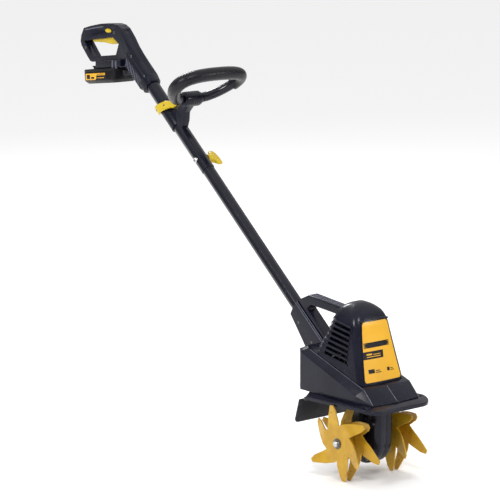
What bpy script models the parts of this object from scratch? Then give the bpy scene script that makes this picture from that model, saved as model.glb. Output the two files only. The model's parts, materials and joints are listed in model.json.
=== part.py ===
"""Battery garden tiller with front tines, a telescoped shaft and two handles.

The frame has +Z up, -Y towards the front and +X towards the machine's left.  The origin lies on
the ground straight below the tine axle, halfway between the two sides.  Every size below is in
millimetres; new_piece() turns millimetres into metres.
"""
import math

import bmesh
import bpy
from mathutils import Matrix, Vector

MM = 0.001
GAP = 0.3                     # left between two pieces that touch
SPLIT_GAP = 0.3               # left between the halves of a split moulding
FINE = 48                     # sides of a bore that something turns in

# Tines and axle
TINE_RADIUS = 81.0
AXLE_HEIGHT = TINE_RADIUS
TINE_PHASE = 32.6             # angle of the first blade above the forward direction, in degrees
BLADE_COUNT = 6
TINE_THICKNESS = 3.0
TINE_HUB_RADIUS = 38.0        # where the notches between blades end
TIP_BEND = 11.3               # sideways offset of a blade's tip
BEND_RADIUS = 46.0            # where the sideways bend starts
OUTER_TINE_X = 83.7
INNER_TINE_X = 48.2
AXLE_RADIUS = 7.0
AXLE_END_BORE = 3.4
AXLE_BORE_DEPTH = 16.0
TINE_BORE_CLEARANCE = 0.3
SPACER_RADIUS = 12.0
WASHER_RADIUS = 11.0
WASHER_THICKNESS = 1.6
BOLT_HEAD_RADIUS = 6.5
BOLT_HEAD_HEIGHT = 5.0
BOLT_SHANK_RADIUS = 3.0
BOLT_SHANK_LENGTH = 14.0

# Worm gear
WORM_MODULE = 2.0
WHEEL_TEETH = 30
WHEEL_WIDTH = 10.0
WORM_PITCH_RADIUS = 7.5
WORM_LENGTH = 28.0
TOOTH_ADDENDUM = 1.6
TOOTH_DEDENDUM = 2.4
TOOTH_BACKLASH = 0.9
WHEEL_PITCH_RADIUS = WORM_MODULE * WHEEL_TEETH / 2
WORM_Y = WHEEL_PITCH_RADIUS + WORM_PITCH_RADIUS
WORM_PITCH = math.pi * WORM_MODULE
WHEEL_BORE_CLEARANCE = 0.05
TOOTH_ROOT_WIDTH = 1.35       # widths of a tooth, as shares of its width at the pitch
TOOTH_TIP_WIDTH = 0.7
THREAD_CREST = 0.62           # the same for half of the worm's thread
THREAD_ROOT = 1.25

# Gear case
CASE_WALL = 2.6
CASE_ROOM = 2.8               # between the worm's thread and the case
CASE_RADIUS = WORM_Y + WORM_PITCH_RADIUS + TOOTH_ADDENDUM + CASE_ROOM + CASE_WALL
CASE_HALF_WIDTH = 23.0
CASE_TOP = 176.0
CASE_EDGE = 9.0
BEARING_OUTER = 11.0
BEARING_WIDTH = 7.0
BEARING_RUNNING_GAP = 0.05
SEAL_RADIUS = 14.0
SEAL_WIDTH = 4.0
BUSH_RADIUS = 6.5
BUSH_HEIGHT = 7.0
WORM_TIP_RADIUS = 3.0
CASE_INNER_EDGE = 7.0
BOSS_WALL = 3.5               # round each bearing's seat
BOSS_DEPTH = 6.5
BOSS_INSET = 5.0
BUSH_BLOCK_WALL = 3.0
BUSH_BLOCK_LOW = 45.0

# Motor
MOTOR_RADIUS = 26.0
MOTOR_WALL = 2.0
MOTOR_HEIGHT = 66.0
MOUNT_THICKNESS = 4.0
MOUNT_RADIUS = 33.0
ROTOR_RADIUS = 15.5
ROTOR_HEIGHT = 44.0
ROTOR_SHAFT_RADIUS = 4.0
END_CAP_HEIGHT = 8.0
FAN_RADIUS = 23.0
FAN_HEIGHT = 9.0
FAN_BLADES = 7
FAN_DISC = 2.0
FAN_EYE = 8.0
FAN_LIFT = 2.0
CORE_LIFT = 8.0

# Shield and rear flap
SHIELD_HALF_WIDTH = 90.0
SHIELD_FRONT = -104.0
SHIELD_REAR = 114.0
SHIELD_WALL = 3.0
SHIELD_ROOF = 169.0
SHIELD_LIP = 8.0
SHIELD_LIP_WIDTH = 3.5
ROOF_INSET = 15.0
ROOF_CORNER = 24.0
SHIELD_CORNER = 36.0
SHIELD_INNER_CORNER = 34.0
SHIELD_HOLE_GAP = 1.5
RIM_HEIGHTS = ((-104.0, 164.0), (-79.0, 168.0), (-49.0, 172.0), (-12.0, 176.5),
               (25.0, 178.0), (54.0, 177.0), (80.0, 169.0), (114.0, 154.0))
FLAP_RAKE = 15.0              # how far the flap's foot hangs behind its top
FLAP_THICKNESS = 3.0
FLAP_HALF_WIDTH = 88.0
FLAP_BOTTOM = 99.0
FLAP_CORNER = 10.0
FLAP_OVERLAP = 6.0            # how far the flap's top stands above the rim's foot

# Deck
DECK_HALF_WIDTH = 75.0
DECK_FRONT = -86.0
DECK_REAR = 139.0
DECK_WALL = 3.0
PLATEAU_HALF_WIDTH = 63.0
PLATEAU_FRONT = -54.0
PLATEAU_FRONT_HEIGHT = 200.0
PLATEAU_SLOPE = 0.33
SIDE_FRONT_HEIGHT = 187.0
SIDE_FRONT_Y = -42.0
SIDE_SLOPE = 0.361
DOME_HOLE_HALF_WIDTH = 37.0
DOME_HOLE_FRONT = -12.0
DOME_HOLE_REAR = 88.0
DECK_FRONT_RISE = 3.0
DECK_FRONT_STEP = 5.0
DECK_REAR_STEP = 12.0
DECK_REAR_CORNER = 8.0
DECK_SIDE_STEP = 6.0
DECK_TOP_STEP = 22.0
HOLE_STEP = 10.0

# Motor cover: front y, rear y, half width, front z, rear z and corner radius of each level
COVER_WALL = 2.6
COVER_LEVELS = (
    (-42.0, 101.0, 61.0, 0.0, 0.0, 13.0),
    (-33.0, 91.0, 57.5, 238.0, 276.0, 14.0),
    (-24.5, 78.0, 54.0, 271.0, 299.0, 15.0),
    (-17.0, 70.0, 50.0, 303.0, 320.0, 16.0),
    (-13.0, 65.0, 46.5, 323.0, 335.0, 16.0),
    (-5.0, 58.0, 39.0, 341.0, 348.5, 15.0),
    (8.0, 48.0, 26.0, 353.0, 357.0, 12.0),
    (19.0, 37.0, 12.0, 359.5, 361.0, 6.0),
)
COVER_REAR_CORNER = 1.35      # rear corner radius as a share of the front one
LABEL_THICKNESS = 0.8
LABEL_TOP_HALF_WIDTH = 34.0
LABEL_BOTTOM_HALF_WIDTH = 50.0
LOUVRE_COUNT = 7
LOUVRE_HEIGHT = 4.0
LOUVRE_PITCH = 11.0
LOUVRE_FRONT = 5.0
LOUVRE_REAR = 68.0
LOUVRE_BOTTOM = 243.0
LOUVRE_STEP = 3.5             # how much shorter each louvre is than the one below
LABEL_MARGIN = 4.0
TRIM_DEPTH = 6.0              # how far a trimming body reaches below the deck's top

# Shaft line: a point at the socket's mouth and the lean above the horizontal
SHAFT_MOUTH = (224.7, 322.0)
SHAFT_LEAN = 40.1
LOWER_TUBE_RADIUS = 13.6
TUBE_WALL = 1.1
TUBE_FIT = 0.3
UPPER_TUBE_RADIUS = LOWER_TUBE_RADIUS + TUBE_FIT + TUBE_WALL
SOCKET_HALF_WIDTH = LOWER_TUBE_RADIUS + 4.9
SOCKET_HALF_DEPTH = LOWER_TUBE_RADIUS + 6.4
SOCKET_START = -152.0
SOCKET_LIP = (-9.0, -16.0)    # lower lip of the mouth: distance along the shaft, and out of it
SOCKET_FOOT = (142.0, 195.0)  # where the gusset below the socket meets the deck's rear wall
TUBE_FLUTES = 8
FLUTE_DEPTH = 0.45
LOWER_TUBE_START = -140.0
JOINT_AT = 389.0
TUBE_OVERLAP = 90.0
UPPER_TUBE_END = 738.0
JOINT_BOLT_AT = 421.0
JOINT_BOLT_RADIUS = 3.0
KNOB_HUB_RADIUS = 8.0
KNOB_SPAN = 46.0
KNOB_WIDTH = 11.0
KNOB_DEPTH = 24.0
KNOB_TURN = -10.0             # rest angle of the wings from the shaft's direction
KNOB_WINGS = ((14.0, 0.36), (19.0, 0.5), (30.0, 0.5))     # distance out, and share of the span
JOINT_HEAD_RADIUS = 6.0
JOINT_HEAD_TOP = 4.2
JOINT_HEAD_HEIGHT = 4.0

# Carry handle on the head
CARRY_HALF_WIDTH = 14.0
CARRY_STRUT_DEPTH = 9.0
CARRY_STRUT_LENGTH = 125.0
CARRY_STRUT_END = -3.0
CARRY_STRUT_BEND = -36.0
CARRY_TOP_REAR = (173.0, 352.5)
CARRY_TOP_FRONT = (48.0, 340.0)
CARRY_UNDER_FRONT = (48.0, 322.5)
CARRY_UNDER_REAR = (166.0, 332.0)

# Loop handle
BARREL_AT = (580.0, 723.0)
BARREL_RADIUS = 16.5
BARREL_HALF_LENGTH = 25.0
BARREL_RIGHT_RADIUS = 13.0
BARREL_LEFT_RADIUS = 12.0
NECK_SECTIONS = ((531.0, 10.0, 14.0, 26.0), (531.0, 30.0, 12.0, 20.0),
                 (534.0, 45.0, 11.0, 13.0), (532.0, 72.0, 13.0, 12.0))
LOOP_SOCKET_DEPTH = 3.0
LOOP_TILT = 35.0
LOOP_TUBE_RADIUS = 8.2
LOOP_TUBE_WALL = 1.5
LOOP_POINTS = ((24.0, 0.0), (42.0, 6.0), (60.0, 21.0), (75.0, 43.0), (82.0, 61.0), (82.0, 79.0),
               (73.0, 94.0), (54.0, 103.5), (28.0, 108.0))
LOOP_DEPTH = 109.0
GRIP_RADIUS = 14.5
GRIP_FROM = 2                 # steps of the loop's curve that the grip leaves bare
GRIP_TO = -7
COLLAR_RADIUS = UPPER_TUBE_RADIUS + 3.5
COLLAR_START = 521.0
COLLAR_END = 590.0
LEVER_AT = 578.0
LEVER_SLANT = 0.45            # how far the lever leans down the shaft as it comes forward
LEVER_HEIGHT = 20.0
LEVER_THICKNESS = 4.5
LEVER_REAR_RADIUS = COLLAR_RADIUS + 0.9
LEVER_FRONT_RADIUS = COLLAR_RADIUS + 7.5
LEVER_REAR_ANGLE = -138.0
LEVER_FRONT_ANGLE = -8.0
LEVER_PIN_OUT = COLLAR_RADIUS + 11.5
LEVER_PIN_RADIUS = 2.0
KNUCKLE_RADIUS = 5.0
KNUCKLE_LENGTH = 7.0
KNUCKLE_ROOM = 3.0

# Rear handle: side outline, opening and fittings, drawn for a shaft that ends at DRAWN_END
DRAWN_END = 738.0
HANDLE_HALF_WIDTH = 12.5
HANDLE_EDGE = 7.0
HANDLE_OUTLINE = ((938.0, 777.0), (954.0, 792.0), (970.0, 809.0), (974.0, 819.0), (971.0, 833.0),
                  (961.0, 850.0), (936.0, 856.5), (896.0, 864.5), (850.0, 868.0), (832.0, 866.0),
                  (817.0, 859.0), (798.0, 840.0), (781.0, 819.0), (752.0, 791.0), (768.0, 748.0),
                  (800.0, 775.0), (833.0, 785.0), (930.0, 775.0))
OPENING_OUTLINE = ((960.0, 821.0), (928.0, 787.0), (839.0, 798.0), (828.0, 824.0), (851.0, 837.0))
SLEEVE_HALF_WIDTH = UPPER_TUBE_RADIUS + 2.0
SLEEVE_RADIUS = UPPER_TUBE_RADIUS + 3.5
SLEEVE_START = UPPER_TUBE_END - 91.0
SLEEVE_OUTLINE = ((-91.0, -16.0), (-83.0, -22.0), (-48.0, -24.5), (-3.0, -24.0), (14.0, 12.0),
                  (4.0, 19.0), (-32.0, 18.5), (-73.0, 18.5), (-91.0, 15.0))     # from the tube's end
SLEEVE_EDGE = 5.0
GRIP_BORE_GAP = 0.3
TRIGGER_HALF_WIDTH = 6.5
TRIGGER_OUTLINE = ((941.0, 832.0), (933.0, 820.5), (888.0, 822.0), (862.0, 820.0), (841.0, 823.0),
                   (838.0, 829.0), (843.0, 840.0), (862.0, 839.0))
TRIGGER_PIVOT = (846.0, 834.0)
TRIGGER_PIN_RADIUS = 1.8
TRIGGER_TRAVEL = 8.5          # room above the trigger's rear end
TRIGGER_SIDE_GAP = 0.6
BUTTON_AT = (866.0, 851.0)
BUTTON_HALF_LENGTH = 11.0
BUTTON_HALF_HEIGHT = 4.6
BUTTON_PROUD = 2.0
BUTTON_CLEARANCE = 0.3
SWITCH_REAR = 826.0
SWITCH_FOOT = 832.0
SWITCH_SIZE = (14.0, 14.0, 22.0)
SWITCH_CLEARANCE = 0.5
POCKET_REAR = 3.0             # room round the trigger
POCKET_FRONT = 2.0
POCKET_LOW = 16.0
POCKET_TOP = 1.5
BUTTON_EDGE = 1.0
SOCKET_ROOM = 60.0            # length of the round part under the sleeve
SOCKET_EDGE = 1.5

# Battery and dock
BATTERY_TILT = 6.7
BATTERY_HALF_WIDTH = 34.0
BATTERY_LENGTH = 118.0
BATTERY_HEIGHT = 33.0
BATTERY_FRONT = (815.8059, 738.7670)
BATTERY_WALL = 2.0
BATTERY_CORNER = 8.0
LID_HEIGHT = 6.0
CELL_RADIUS = 9.2
CELL_COUNT = 5
CELL_LENGTH = 50.0
DOCK_HALF_WIDTH = 25.0
DOCK_REAR = 902.0
DOCK_FRONT = 808.0
DOCK_TOP_REAR = 780.0
DOCK_TOP_FRONT = 791.0
RAIL_HALF_WIDTH = 17.0
RAIL_HEIGHT = 7.0
RAIL_FLANGE = 3.0
RAIL_REAR = 14.0
RAIL_FRONT = BATTERY_LENGTH - 18.0
RAIL_CLEARANCE = 0.5
LATCH_SIZE = (20.0, 6.0, 12.0)
DOCK_LOWERING = 0.5           # room between the dock and the handle
CASE_FOOT = 7.0
CASE_FOOT_INSET = 6.0
CELL_STRIP_HALF = 2.0
LEAD_RADIUS = 2.5
LEAD_OUT = -7.0
LEAD_START = -135
LEAD_BEYOND = 7
LEAD_STEP = 40

COLOURS = {
    "navy_plastic": ((0.020, 0.022, 0.036), 0.38, 0.0),
    "black_plastic": ((0.012, 0.012, 0.015), 0.45, 0.0),
    "grey_plastic": ((0.055, 0.057, 0.062), 0.55, 0.0),
    "yellow_plastic": ((0.80, 0.56, 0.03), 0.40, 0.0),
    "label_film": ((0.86, 0.55, 0.06), 0.35, 0.0),
    "tine_paint": ((0.66, 0.42, 0.04), 0.35, 0.0),
    "tube_paint": ((0.022, 0.024, 0.038), 0.30, 0.2),
    "foam": ((0.018, 0.019, 0.026), 0.85, 0.0),
    "zinc_steel": ((0.62, 0.62, 0.64), 0.30, 1.0),
    "dark_steel": ((0.20, 0.20, 0.21), 0.40, 1.0),
    "bronze": ((0.55, 0.36, 0.14), 0.35, 1.0),
    "copper": ((0.60, 0.28, 0.14), 0.35, 1.0),
    "rubber": ((0.02, 0.02, 0.02), 0.80, 0.0),
}

SIDES = ((-1, "right"), (1, "left"))
LEAN = math.radians(SHAFT_LEAN)
SHAFT_UP = Vector((0.0, math.cos(LEAN), math.sin(LEAN)))
SHAFT_OUT = Vector((0.0, -math.sin(LEAN), math.cos(LEAN)))
ACROSS = Vector((1.0, 0.0, 0.0))
AXLE_CENTRE = Vector((0.0, 0.0, AXLE_HEIGHT))
BEYOND = (UPPER_TUBE_END - DRAWN_END) * SHAFT_UP     # how far the rear handle moves with the tube


# ---------------------------------------------------------------- building blocks

def clear_scene():
    """Remove every object, so that the script can run in any file."""
    for item in list(bpy.data.objects):
        bpy.data.objects.remove(item)


def material(name):
    """Return the named finish, made on first use."""
    found = bpy.data.materials.get(name)
    if found:
        return found
    colour, roughness, metallic = COLOURS[name]
    made = bpy.data.materials.new(name)
    made.use_nodes = True
    shader = made.node_tree.nodes["Principled BSDF"]
    shader.inputs["Base Color"].default_value = (*colour, 1.0)
    shader.inputs["Roughness"].default_value = roughness
    shader.inputs["Metallic"].default_value = metallic
    made.diffuse_color = (*colour, 1.0)
    return made


def along(distance, out=0.0, across=0.0):
    """Point on the shaft: distance up from the socket's mouth, out of the axis, and sideways."""
    start = Vector((0.0, *SHAFT_MOUTH))
    return start + distance * SHAFT_UP + out * SHAFT_OUT + across * ACROSS


def with_tube(*points):
    """Move (y, z) points of the rear handle and battery along with the upper tube's end."""
    return tuple((y + BEYOND.y, z + BEYOND.z) for y, z in points)


def new_piece(name, bm, finish, origin=Vector()):
    """Turn a mesh in millimetres into an object in metres, with its origin at the given point."""
    bmesh.ops.remove_doubles(bm, verts=bm.verts, dist=0.001)
    bmesh.ops.recalc_face_normals(bm, faces=bm.faces)
    bmesh.ops.translate(bm, vec=-origin, verts=bm.verts)
    bmesh.ops.scale(bm, vec=(MM, MM, MM), verts=bm.verts)
    mesh = bpy.data.meshes.new(name)
    bm.to_mesh(mesh)
    bm.free()
    piece = bpy.data.objects.new(name, mesh)
    piece.location = origin * MM
    bpy.context.scene.collection.objects.link(piece)
    mesh.materials.append(material(finish))
    shade(piece)
    return piece


def shade(piece):
    """Shade a piece smooth, with its corners kept sharp."""
    piece.data.shade_smooth()
    piece.data.set_sharp_from_angle(angle=math.radians(35.0))


def apply_modifiers(piece):
    """Replace a piece's mesh with its evaluated one."""
    bpy.context.view_layer.update()
    graph = bpy.context.evaluated_depsgraph_get()
    mesh = bpy.data.meshes.new_from_object(piece.evaluated_get(graph))
    mesh.name = piece.name
    piece.modifiers.clear()
    piece.data = mesh
    shade(piece)


def combine(piece, tool, operation):
    """Apply a Boolean of one piece with a tool, then remove the tool."""
    tool.hide_render = True
    tool.display_type = "WIRE"
    modifier = piece.modifiers.new("combine", "BOOLEAN")
    modifier.operation = operation
    modifier.solver = "EXACT"
    modifier.object = tool
    apply_modifiers(piece)
    bpy.data.objects.remove(tool)


def cut(piece, *tools):
    """Cut tools out of a piece."""
    for tool in tools:
        combine(piece, tool, "DIFFERENCE")


def join(piece, *tools):
    """Weld tools to a piece."""
    for tool in tools:
        combine(piece, tool, "UNION")


def tool(bm):
    """Make a temporary piece for a Boolean."""
    return new_piece("tool", bm, "black_plastic")


def soften(piece, width, segments=2):
    """Round a piece's sharp edges."""
    modifier = piece.modifiers.new("edges", "BEVEL")
    modifier.width = width * MM
    modifier.segments = segments
    modifier.limit_method = "ANGLE"
    modifier.angle_limit = math.radians(40.0)
    apply_modifiers(piece)


def loft(loops, ring=False):
    """Skin a row of equal loops; a ring joins the last loop to the first, and has no caps."""
    bm = bmesh.new()
    rows = [[bm.verts.new(point) for point in loop] for loop in loops]
    pairs = list(zip(rows, rows[1:]))
    if ring:
        pairs.append((rows[-1], rows[0]))
    for lower, upper in pairs:
        count = len(lower)
        for i in range(count):
            j = (i + 1) % count
            bm.faces.new((lower[i], lower[j], upper[j], upper[i]))
    if not ring:
        bm.faces.new(rows[0])
        bm.faces.new(rows[-1])
    return bm


def circle(centre, axis, radius, segments):
    """Points of a circle square to an axis."""
    turn = Vector(axis).to_track_quat("Z", "Y")
    points = []
    for i in range(segments):
        angle = math.tau * i / segments
        points.append(Vector(centre) + turn @ Vector((radius * math.cos(angle),
                                                      radius * math.sin(angle), 0.0)))
    return points


def turned(profile, start, axis, segments=24, ring=False):
    """Turn a profile of (distance, radius) pairs about an axis."""
    direction = Vector(axis).normalized()
    loops = [circle(Vector(start) + direction * distance, direction, radius, segments)
             for distance, radius in profile]
    return loft(loops, ring)


def washer(start, axis, length, bore, radius, segments=24):
    """Flat ring: a bore inside an outer radius."""
    profile = ((0.0, bore), (0.0, radius), (length, radius), (length, bore))
    return turned(profile, start, axis, segments, ring=True)


def rod(start, axis, length, radius, segments=24):
    """Plain round bar."""
    return turned(((0.0, radius), (length, radius)), start, axis, segments)


def slab(outline, low_x, high_x):
    """Side outline of (y, z) points, given a width along X."""
    return loft([[Vector((x, y, z)) for y, z in outline] for x in (low_x, high_x)])


def block(low, high):
    """Box between two corners."""
    outline = ((low[1], low[2]), (high[1], low[2]), (high[1], high[2]), (low[1], high[2]))
    return slab(outline, low[0], high[0])


def rounded_rectangle(half_width, front, rear, front_corner, rear_corner, height, arc=4):
    """Plan outline with round corners; height gives z for each y."""
    points = []
    corners = ((half_width - front_corner, front + front_corner, front_corner, -90.0),
               (half_width - rear_corner, rear - rear_corner, rear_corner, 0.0),
               (rear_corner - half_width, rear - rear_corner, rear_corner, 90.0),
               (front_corner - half_width, front + front_corner, front_corner, 180.0))
    for x, y, radius, start in corners:
        for i in range(arc + 1):
            angle = math.radians(start + 90.0 * i / arc)
            px = x + radius * math.cos(angle)
            py = y + radius * math.sin(angle)
            points.append(Vector((px, py, height(py))))
    return points


def tube_along(path, radius, bore=0.0, segments=12):
    """Round bar, or tube where it has a bore, along a path of points."""
    count = len(path)
    tangents = []
    for i in range(count):
        step = path[min(i + 1, count - 1)] - path[max(i - 1, 0)]
        tangents.append(step.normalized())
    side = tangents[0].orthogonal().normalized()
    sides = []
    for tangent in tangents:
        side = (side - tangent * side.dot(tangent)).normalized()
        sides.append(side.copy())

    def loops(size):
        made = []
        for point, tangent, first in zip(path, tangents, sides):
            second = tangent.cross(first)
            made.append([point + size * (math.cos(a) * first + math.sin(a) * second)
                         for a in (math.tau * k / segments for k in range(segments))])
        return made

    if not bore:
        return loft(loops(radius))
    return loft(loops(radius) + loops(bore)[::-1], ring=True)


def smooth_path(points, per_span=2):
    """Catmull-Rom curve through points."""
    padded = [2 * points[0] - points[1], *points, 2 * points[-1] - points[-2]]
    path = []
    for a, b, c, d in zip(padded, padded[1:], padded[2:], padded[3:]):
        for step in range(per_span):
            t = step / per_span
            path.append(0.5 * (2 * b + (c - a) * t + (2 * a - 5 * b + 4 * c - d) * t * t
                               + (3 * b - a - 3 * c + d) * t ** 3))
    path.append(points[-1])
    return path


def halves(piece, left, right):
    """Split a moulding at the middle into its left and right halves."""
    reach = 3000.0
    made = []
    for side, name in ((1, left), (-1, right)):
        half = piece.copy()
        half.data = piece.data.copy()
        half.name = name
        half.data.name = name
        bpy.context.scene.collection.objects.link(half)
        near, far = sorted((side * SPLIT_GAP / 2, side * reach))
        keep = tool(block((near, -reach, -reach), (far, reach, reach)))
        combine(half, keep, "INTERSECT")
        made.append(half)
    bpy.data.objects.remove(piece)
    return made


def between(rows, y):
    """Read a value at y from a rising table of (y, value) pairs."""
    if y <= rows[0][0]:
        return rows[0][1]
    for (y0, v0), (y1, v1) in zip(rows, rows[1:]):
        if y <= y1:
            return v0 + (v1 - v0) * (y - y0) / (y1 - y0)
    return rows[-1][1]


def pivot(name, point, *pieces):
    """Empty on a joint's axis, which carries the pieces that turn or slide there."""
    empty = bpy.data.objects.new(name, None)
    empty.location = Vector(point) * MM
    bpy.context.scene.collection.objects.link(empty)
    for piece in pieces:
        piece.location = piece.location - empty.location
        piece.parent = empty
    return empty


# ---------------------------------------------------------------- tines and axle

def tine_disc(name, x, lean):
    """Claw disc: a hub plate with hooked blades, whose tips bend to alternate sides.

    The first blade bends towards +X where lean is 1, and towards -X where it is -1.
    """
    bore = AXLE_RADIUS + TINE_BORE_CLEARANCE
    step = 360.0 / BLADE_COUNT
    sections = ((TINE_HUB_RADIUS, -5.0, step - 5.0), (BEND_RADIUS, -4.0, 38.0), (57.0, -3.5, 23.5),
                (TINE_RADIUS - 11.0, -3.5, 12.0), (TINE_RADIUS, -0.5, 5.5))
    bend = TIP_BEND / (TINE_RADIUS - BEND_RADIUS)
    bm = bmesh.new()
    flat = {}

    def vertex(radius, degrees, sign):
        key = (round(radius, 3), round(degrees % 360.0, 3))
        if key not in flat:
            angle = math.radians(degrees)
            offset = sign * bend * max(0.0, radius - BEND_RADIUS)
            flat[key] = bm.verts.new((offset, -radius * math.cos(angle), radius * math.sin(angle)))
        return flat[key]

    for blade in range(BLADE_COUNT):
        start = TINE_PHASE + step * blade
        sign = lean if blade % 2 == 0 else -lean
        rows = [(vertex(r, start + low, sign), vertex(r, start + high, sign))
                for r, low, high in sections]
        root = [vertex(bore, start - 5.0 + step * share / 3, sign) for share in range(4)]
        bm.faces.new((root[0], root[1], rows[0][0]))
        bm.faces.new((root[1], root[2], rows[0][1], rows[0][0]))
        bm.faces.new((root[2], root[3], rows[0][1]))
        for (a, b), (c, d) in zip(rows, rows[1:]):
            bm.faces.new((a, b, d, c))
    bmesh.ops.recalc_face_normals(bm, faces=bm.faces)
    if bm.faces[0].normal.x < 0:
        bmesh.ops.reverse_faces(bm, faces=bm.faces)
    extruded = bmesh.ops.extrude_face_region(bm, geom=list(bm.faces), use_keep_orig=True)
    moved = [item for item in extruded["geom"] if isinstance(item, bmesh.types.BMVert)]
    bmesh.ops.translate(bm, vec=(TINE_THICKNESS, 0.0, 0.0), verts=moved)
    bmesh.ops.translate(bm, vec=(x - TINE_THICKNESS / 2, 0.0, AXLE_HEIGHT), verts=bm.verts)
    return new_piece(name, bm, "tine_paint", AXLE_CENTRE)


def axle_half_length():
    """The axle ends just inside the outer discs' outer faces."""
    return OUTER_TINE_X + TINE_THICKNESS / 2 - GAP


def make_tines():
    """Axle, discs, spacers, washers and end bolts, all of which turn together."""
    half = axle_half_length()
    profile = ((0.0, AXLE_END_BORE), (0.0, AXLE_RADIUS), (2 * half, AXLE_RADIUS),
               (2 * half, AXLE_END_BORE), (2 * half - AXLE_BORE_DEPTH, AXLE_END_BORE),
               (2 * half - AXLE_BORE_DEPTH, 0.5), (AXLE_BORE_DEPTH, 0.5),
               (AXLE_BORE_DEPTH, AXLE_END_BORE))
    start = AXLE_CENTRE - half * ACROSS
    pieces = [new_piece("axle", turned(profile, start, ACROSS, ring=True), "dark_steel",
                        AXLE_CENTRE)]
    bore = AXLE_RADIUS + TINE_BORE_CLEARANCE
    face = OUTER_TINE_X + TINE_THICKNESS / 2 + GAP
    for side, word in SIDES:
        out = side * ACROSS
        pieces.append(tine_disc(f"tine_{word}_inner", side * INNER_TINE_X, side))
        pieces.append(tine_disc(f"tine_{word}_outer", side * OUTER_TINE_X, -side))
        inner = INNER_TINE_X + TINE_THICKNESS / 2 + GAP
        length = OUTER_TINE_X - INNER_TINE_X - TINE_THICKNESS - 2 * GAP
        spacer = washer(AXLE_CENTRE + inner * out, out, length, bore, SPACER_RADIUS)
        pieces.append(new_piece(f"tine_spacer_{word}", spacer, "tine_paint", AXLE_CENTRE))
        plate = washer(AXLE_CENTRE + face * out, out, WASHER_THICKNESS,
                       BOLT_SHANK_RADIUS + GAP, WASHER_RADIUS)
        pieces.append(new_piece(f"end_washer_{word}", plate, "zinc_steel", AXLE_CENTRE))
        seat = face + WASHER_THICKNESS + GAP
        profile = ((-BOLT_SHANK_LENGTH, BOLT_SHANK_RADIUS), (0.0, BOLT_SHANK_RADIUS),
                   (0.0, BOLT_HEAD_RADIUS), (BOLT_HEAD_HEIGHT - 1.0, BOLT_HEAD_RADIUS),
                   (BOLT_HEAD_HEIGHT, BOLT_HEAD_RADIUS - 1.2))
        bolt = turned(profile, AXLE_CENTRE + seat * out, out, segments=18)
        pieces.append(new_piece(f"end_bolt_{word}", bolt, "zinc_steel", AXLE_CENTRE))
    pieces.append(make_worm_wheel())
    pivot("tine_axis", AXLE_CENTRE, *pieces)


def make_worm_wheel():
    """Helical wheel on the axle, with a gap between teeth level with the worm."""
    tip = WHEEL_PITCH_RADIUS + TOOTH_ADDENDUM
    root = WHEEL_PITCH_RADIUS - TOOTH_DEDENDUM
    tooth = WORM_PITCH / 2 - TOOTH_BACKLASH
    slant = WORM_MODULE / (2 * WORM_PITCH_RADIUS)
    loops = []
    for x in (-WHEEL_WIDTH / 2, WHEEL_WIDTH / 2):
        loop = []
        for k in range(WHEEL_TEETH):
            centre = math.tau * (k + 0.5) / WHEEL_TEETH + slant * x / WHEEL_PITCH_RADIUS
            for radius, share in ((root, -TOOTH_ROOT_WIDTH), (tip, -TOOTH_TIP_WIDTH),
                                  (tip, TOOTH_TIP_WIDTH), (root, TOOTH_ROOT_WIDTH)):
                angle = centre + share * tooth / 2 / WHEEL_PITCH_RADIUS
                loop.append(AXLE_CENTRE + Vector((x, radius * math.cos(angle),
                                                  radius * math.sin(angle))))
        loops.append(loop)
    wheel = new_piece("worm_wheel", loft(loops), "bronze", AXLE_CENTRE)
    bore = rod(AXLE_CENTRE - WHEEL_WIDTH * ACROSS, ACROSS, 2 * WHEEL_WIDTH,
               AXLE_RADIUS + WHEEL_BORE_CLEARANCE, FINE)
    cut(wheel, tool(bore))
    return wheel


# ---------------------------------------------------------------- gear case

def case_outline(inset):
    """Side outline of the gear case, drawn in from its widest by an inset."""
    radius = CASE_RADIUS - inset
    points = []
    for i in range(17):
        angle = math.radians(180.0 + 180.0 * i / 16)
        points.append((radius * math.cos(angle), AXLE_HEIGHT + radius * math.sin(angle)))
    points.append((radius, CASE_TOP))
    points.append((-radius, CASE_TOP))
    return points


def case_solid(half_width, inset, edge, height=0.0):
    """Case shape with rounded side edges; a height above 0 takes it past the case's top."""
    rows = ((-half_width, edge), (edge * 0.45 - half_width, edge * 0.35),
            (edge - half_width, 0.0), (half_width - edge, 0.0),
            (half_width - edge * 0.45, edge * 0.35), (half_width, edge))
    loops = []
    for x, extra in rows:
        loop = [Vector((x, y, z)) for y, z in case_outline(inset + extra)]
        for point in loop[-2:]:
            point.z += height
        loops.append(loop)
    return loft(loops)


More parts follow.
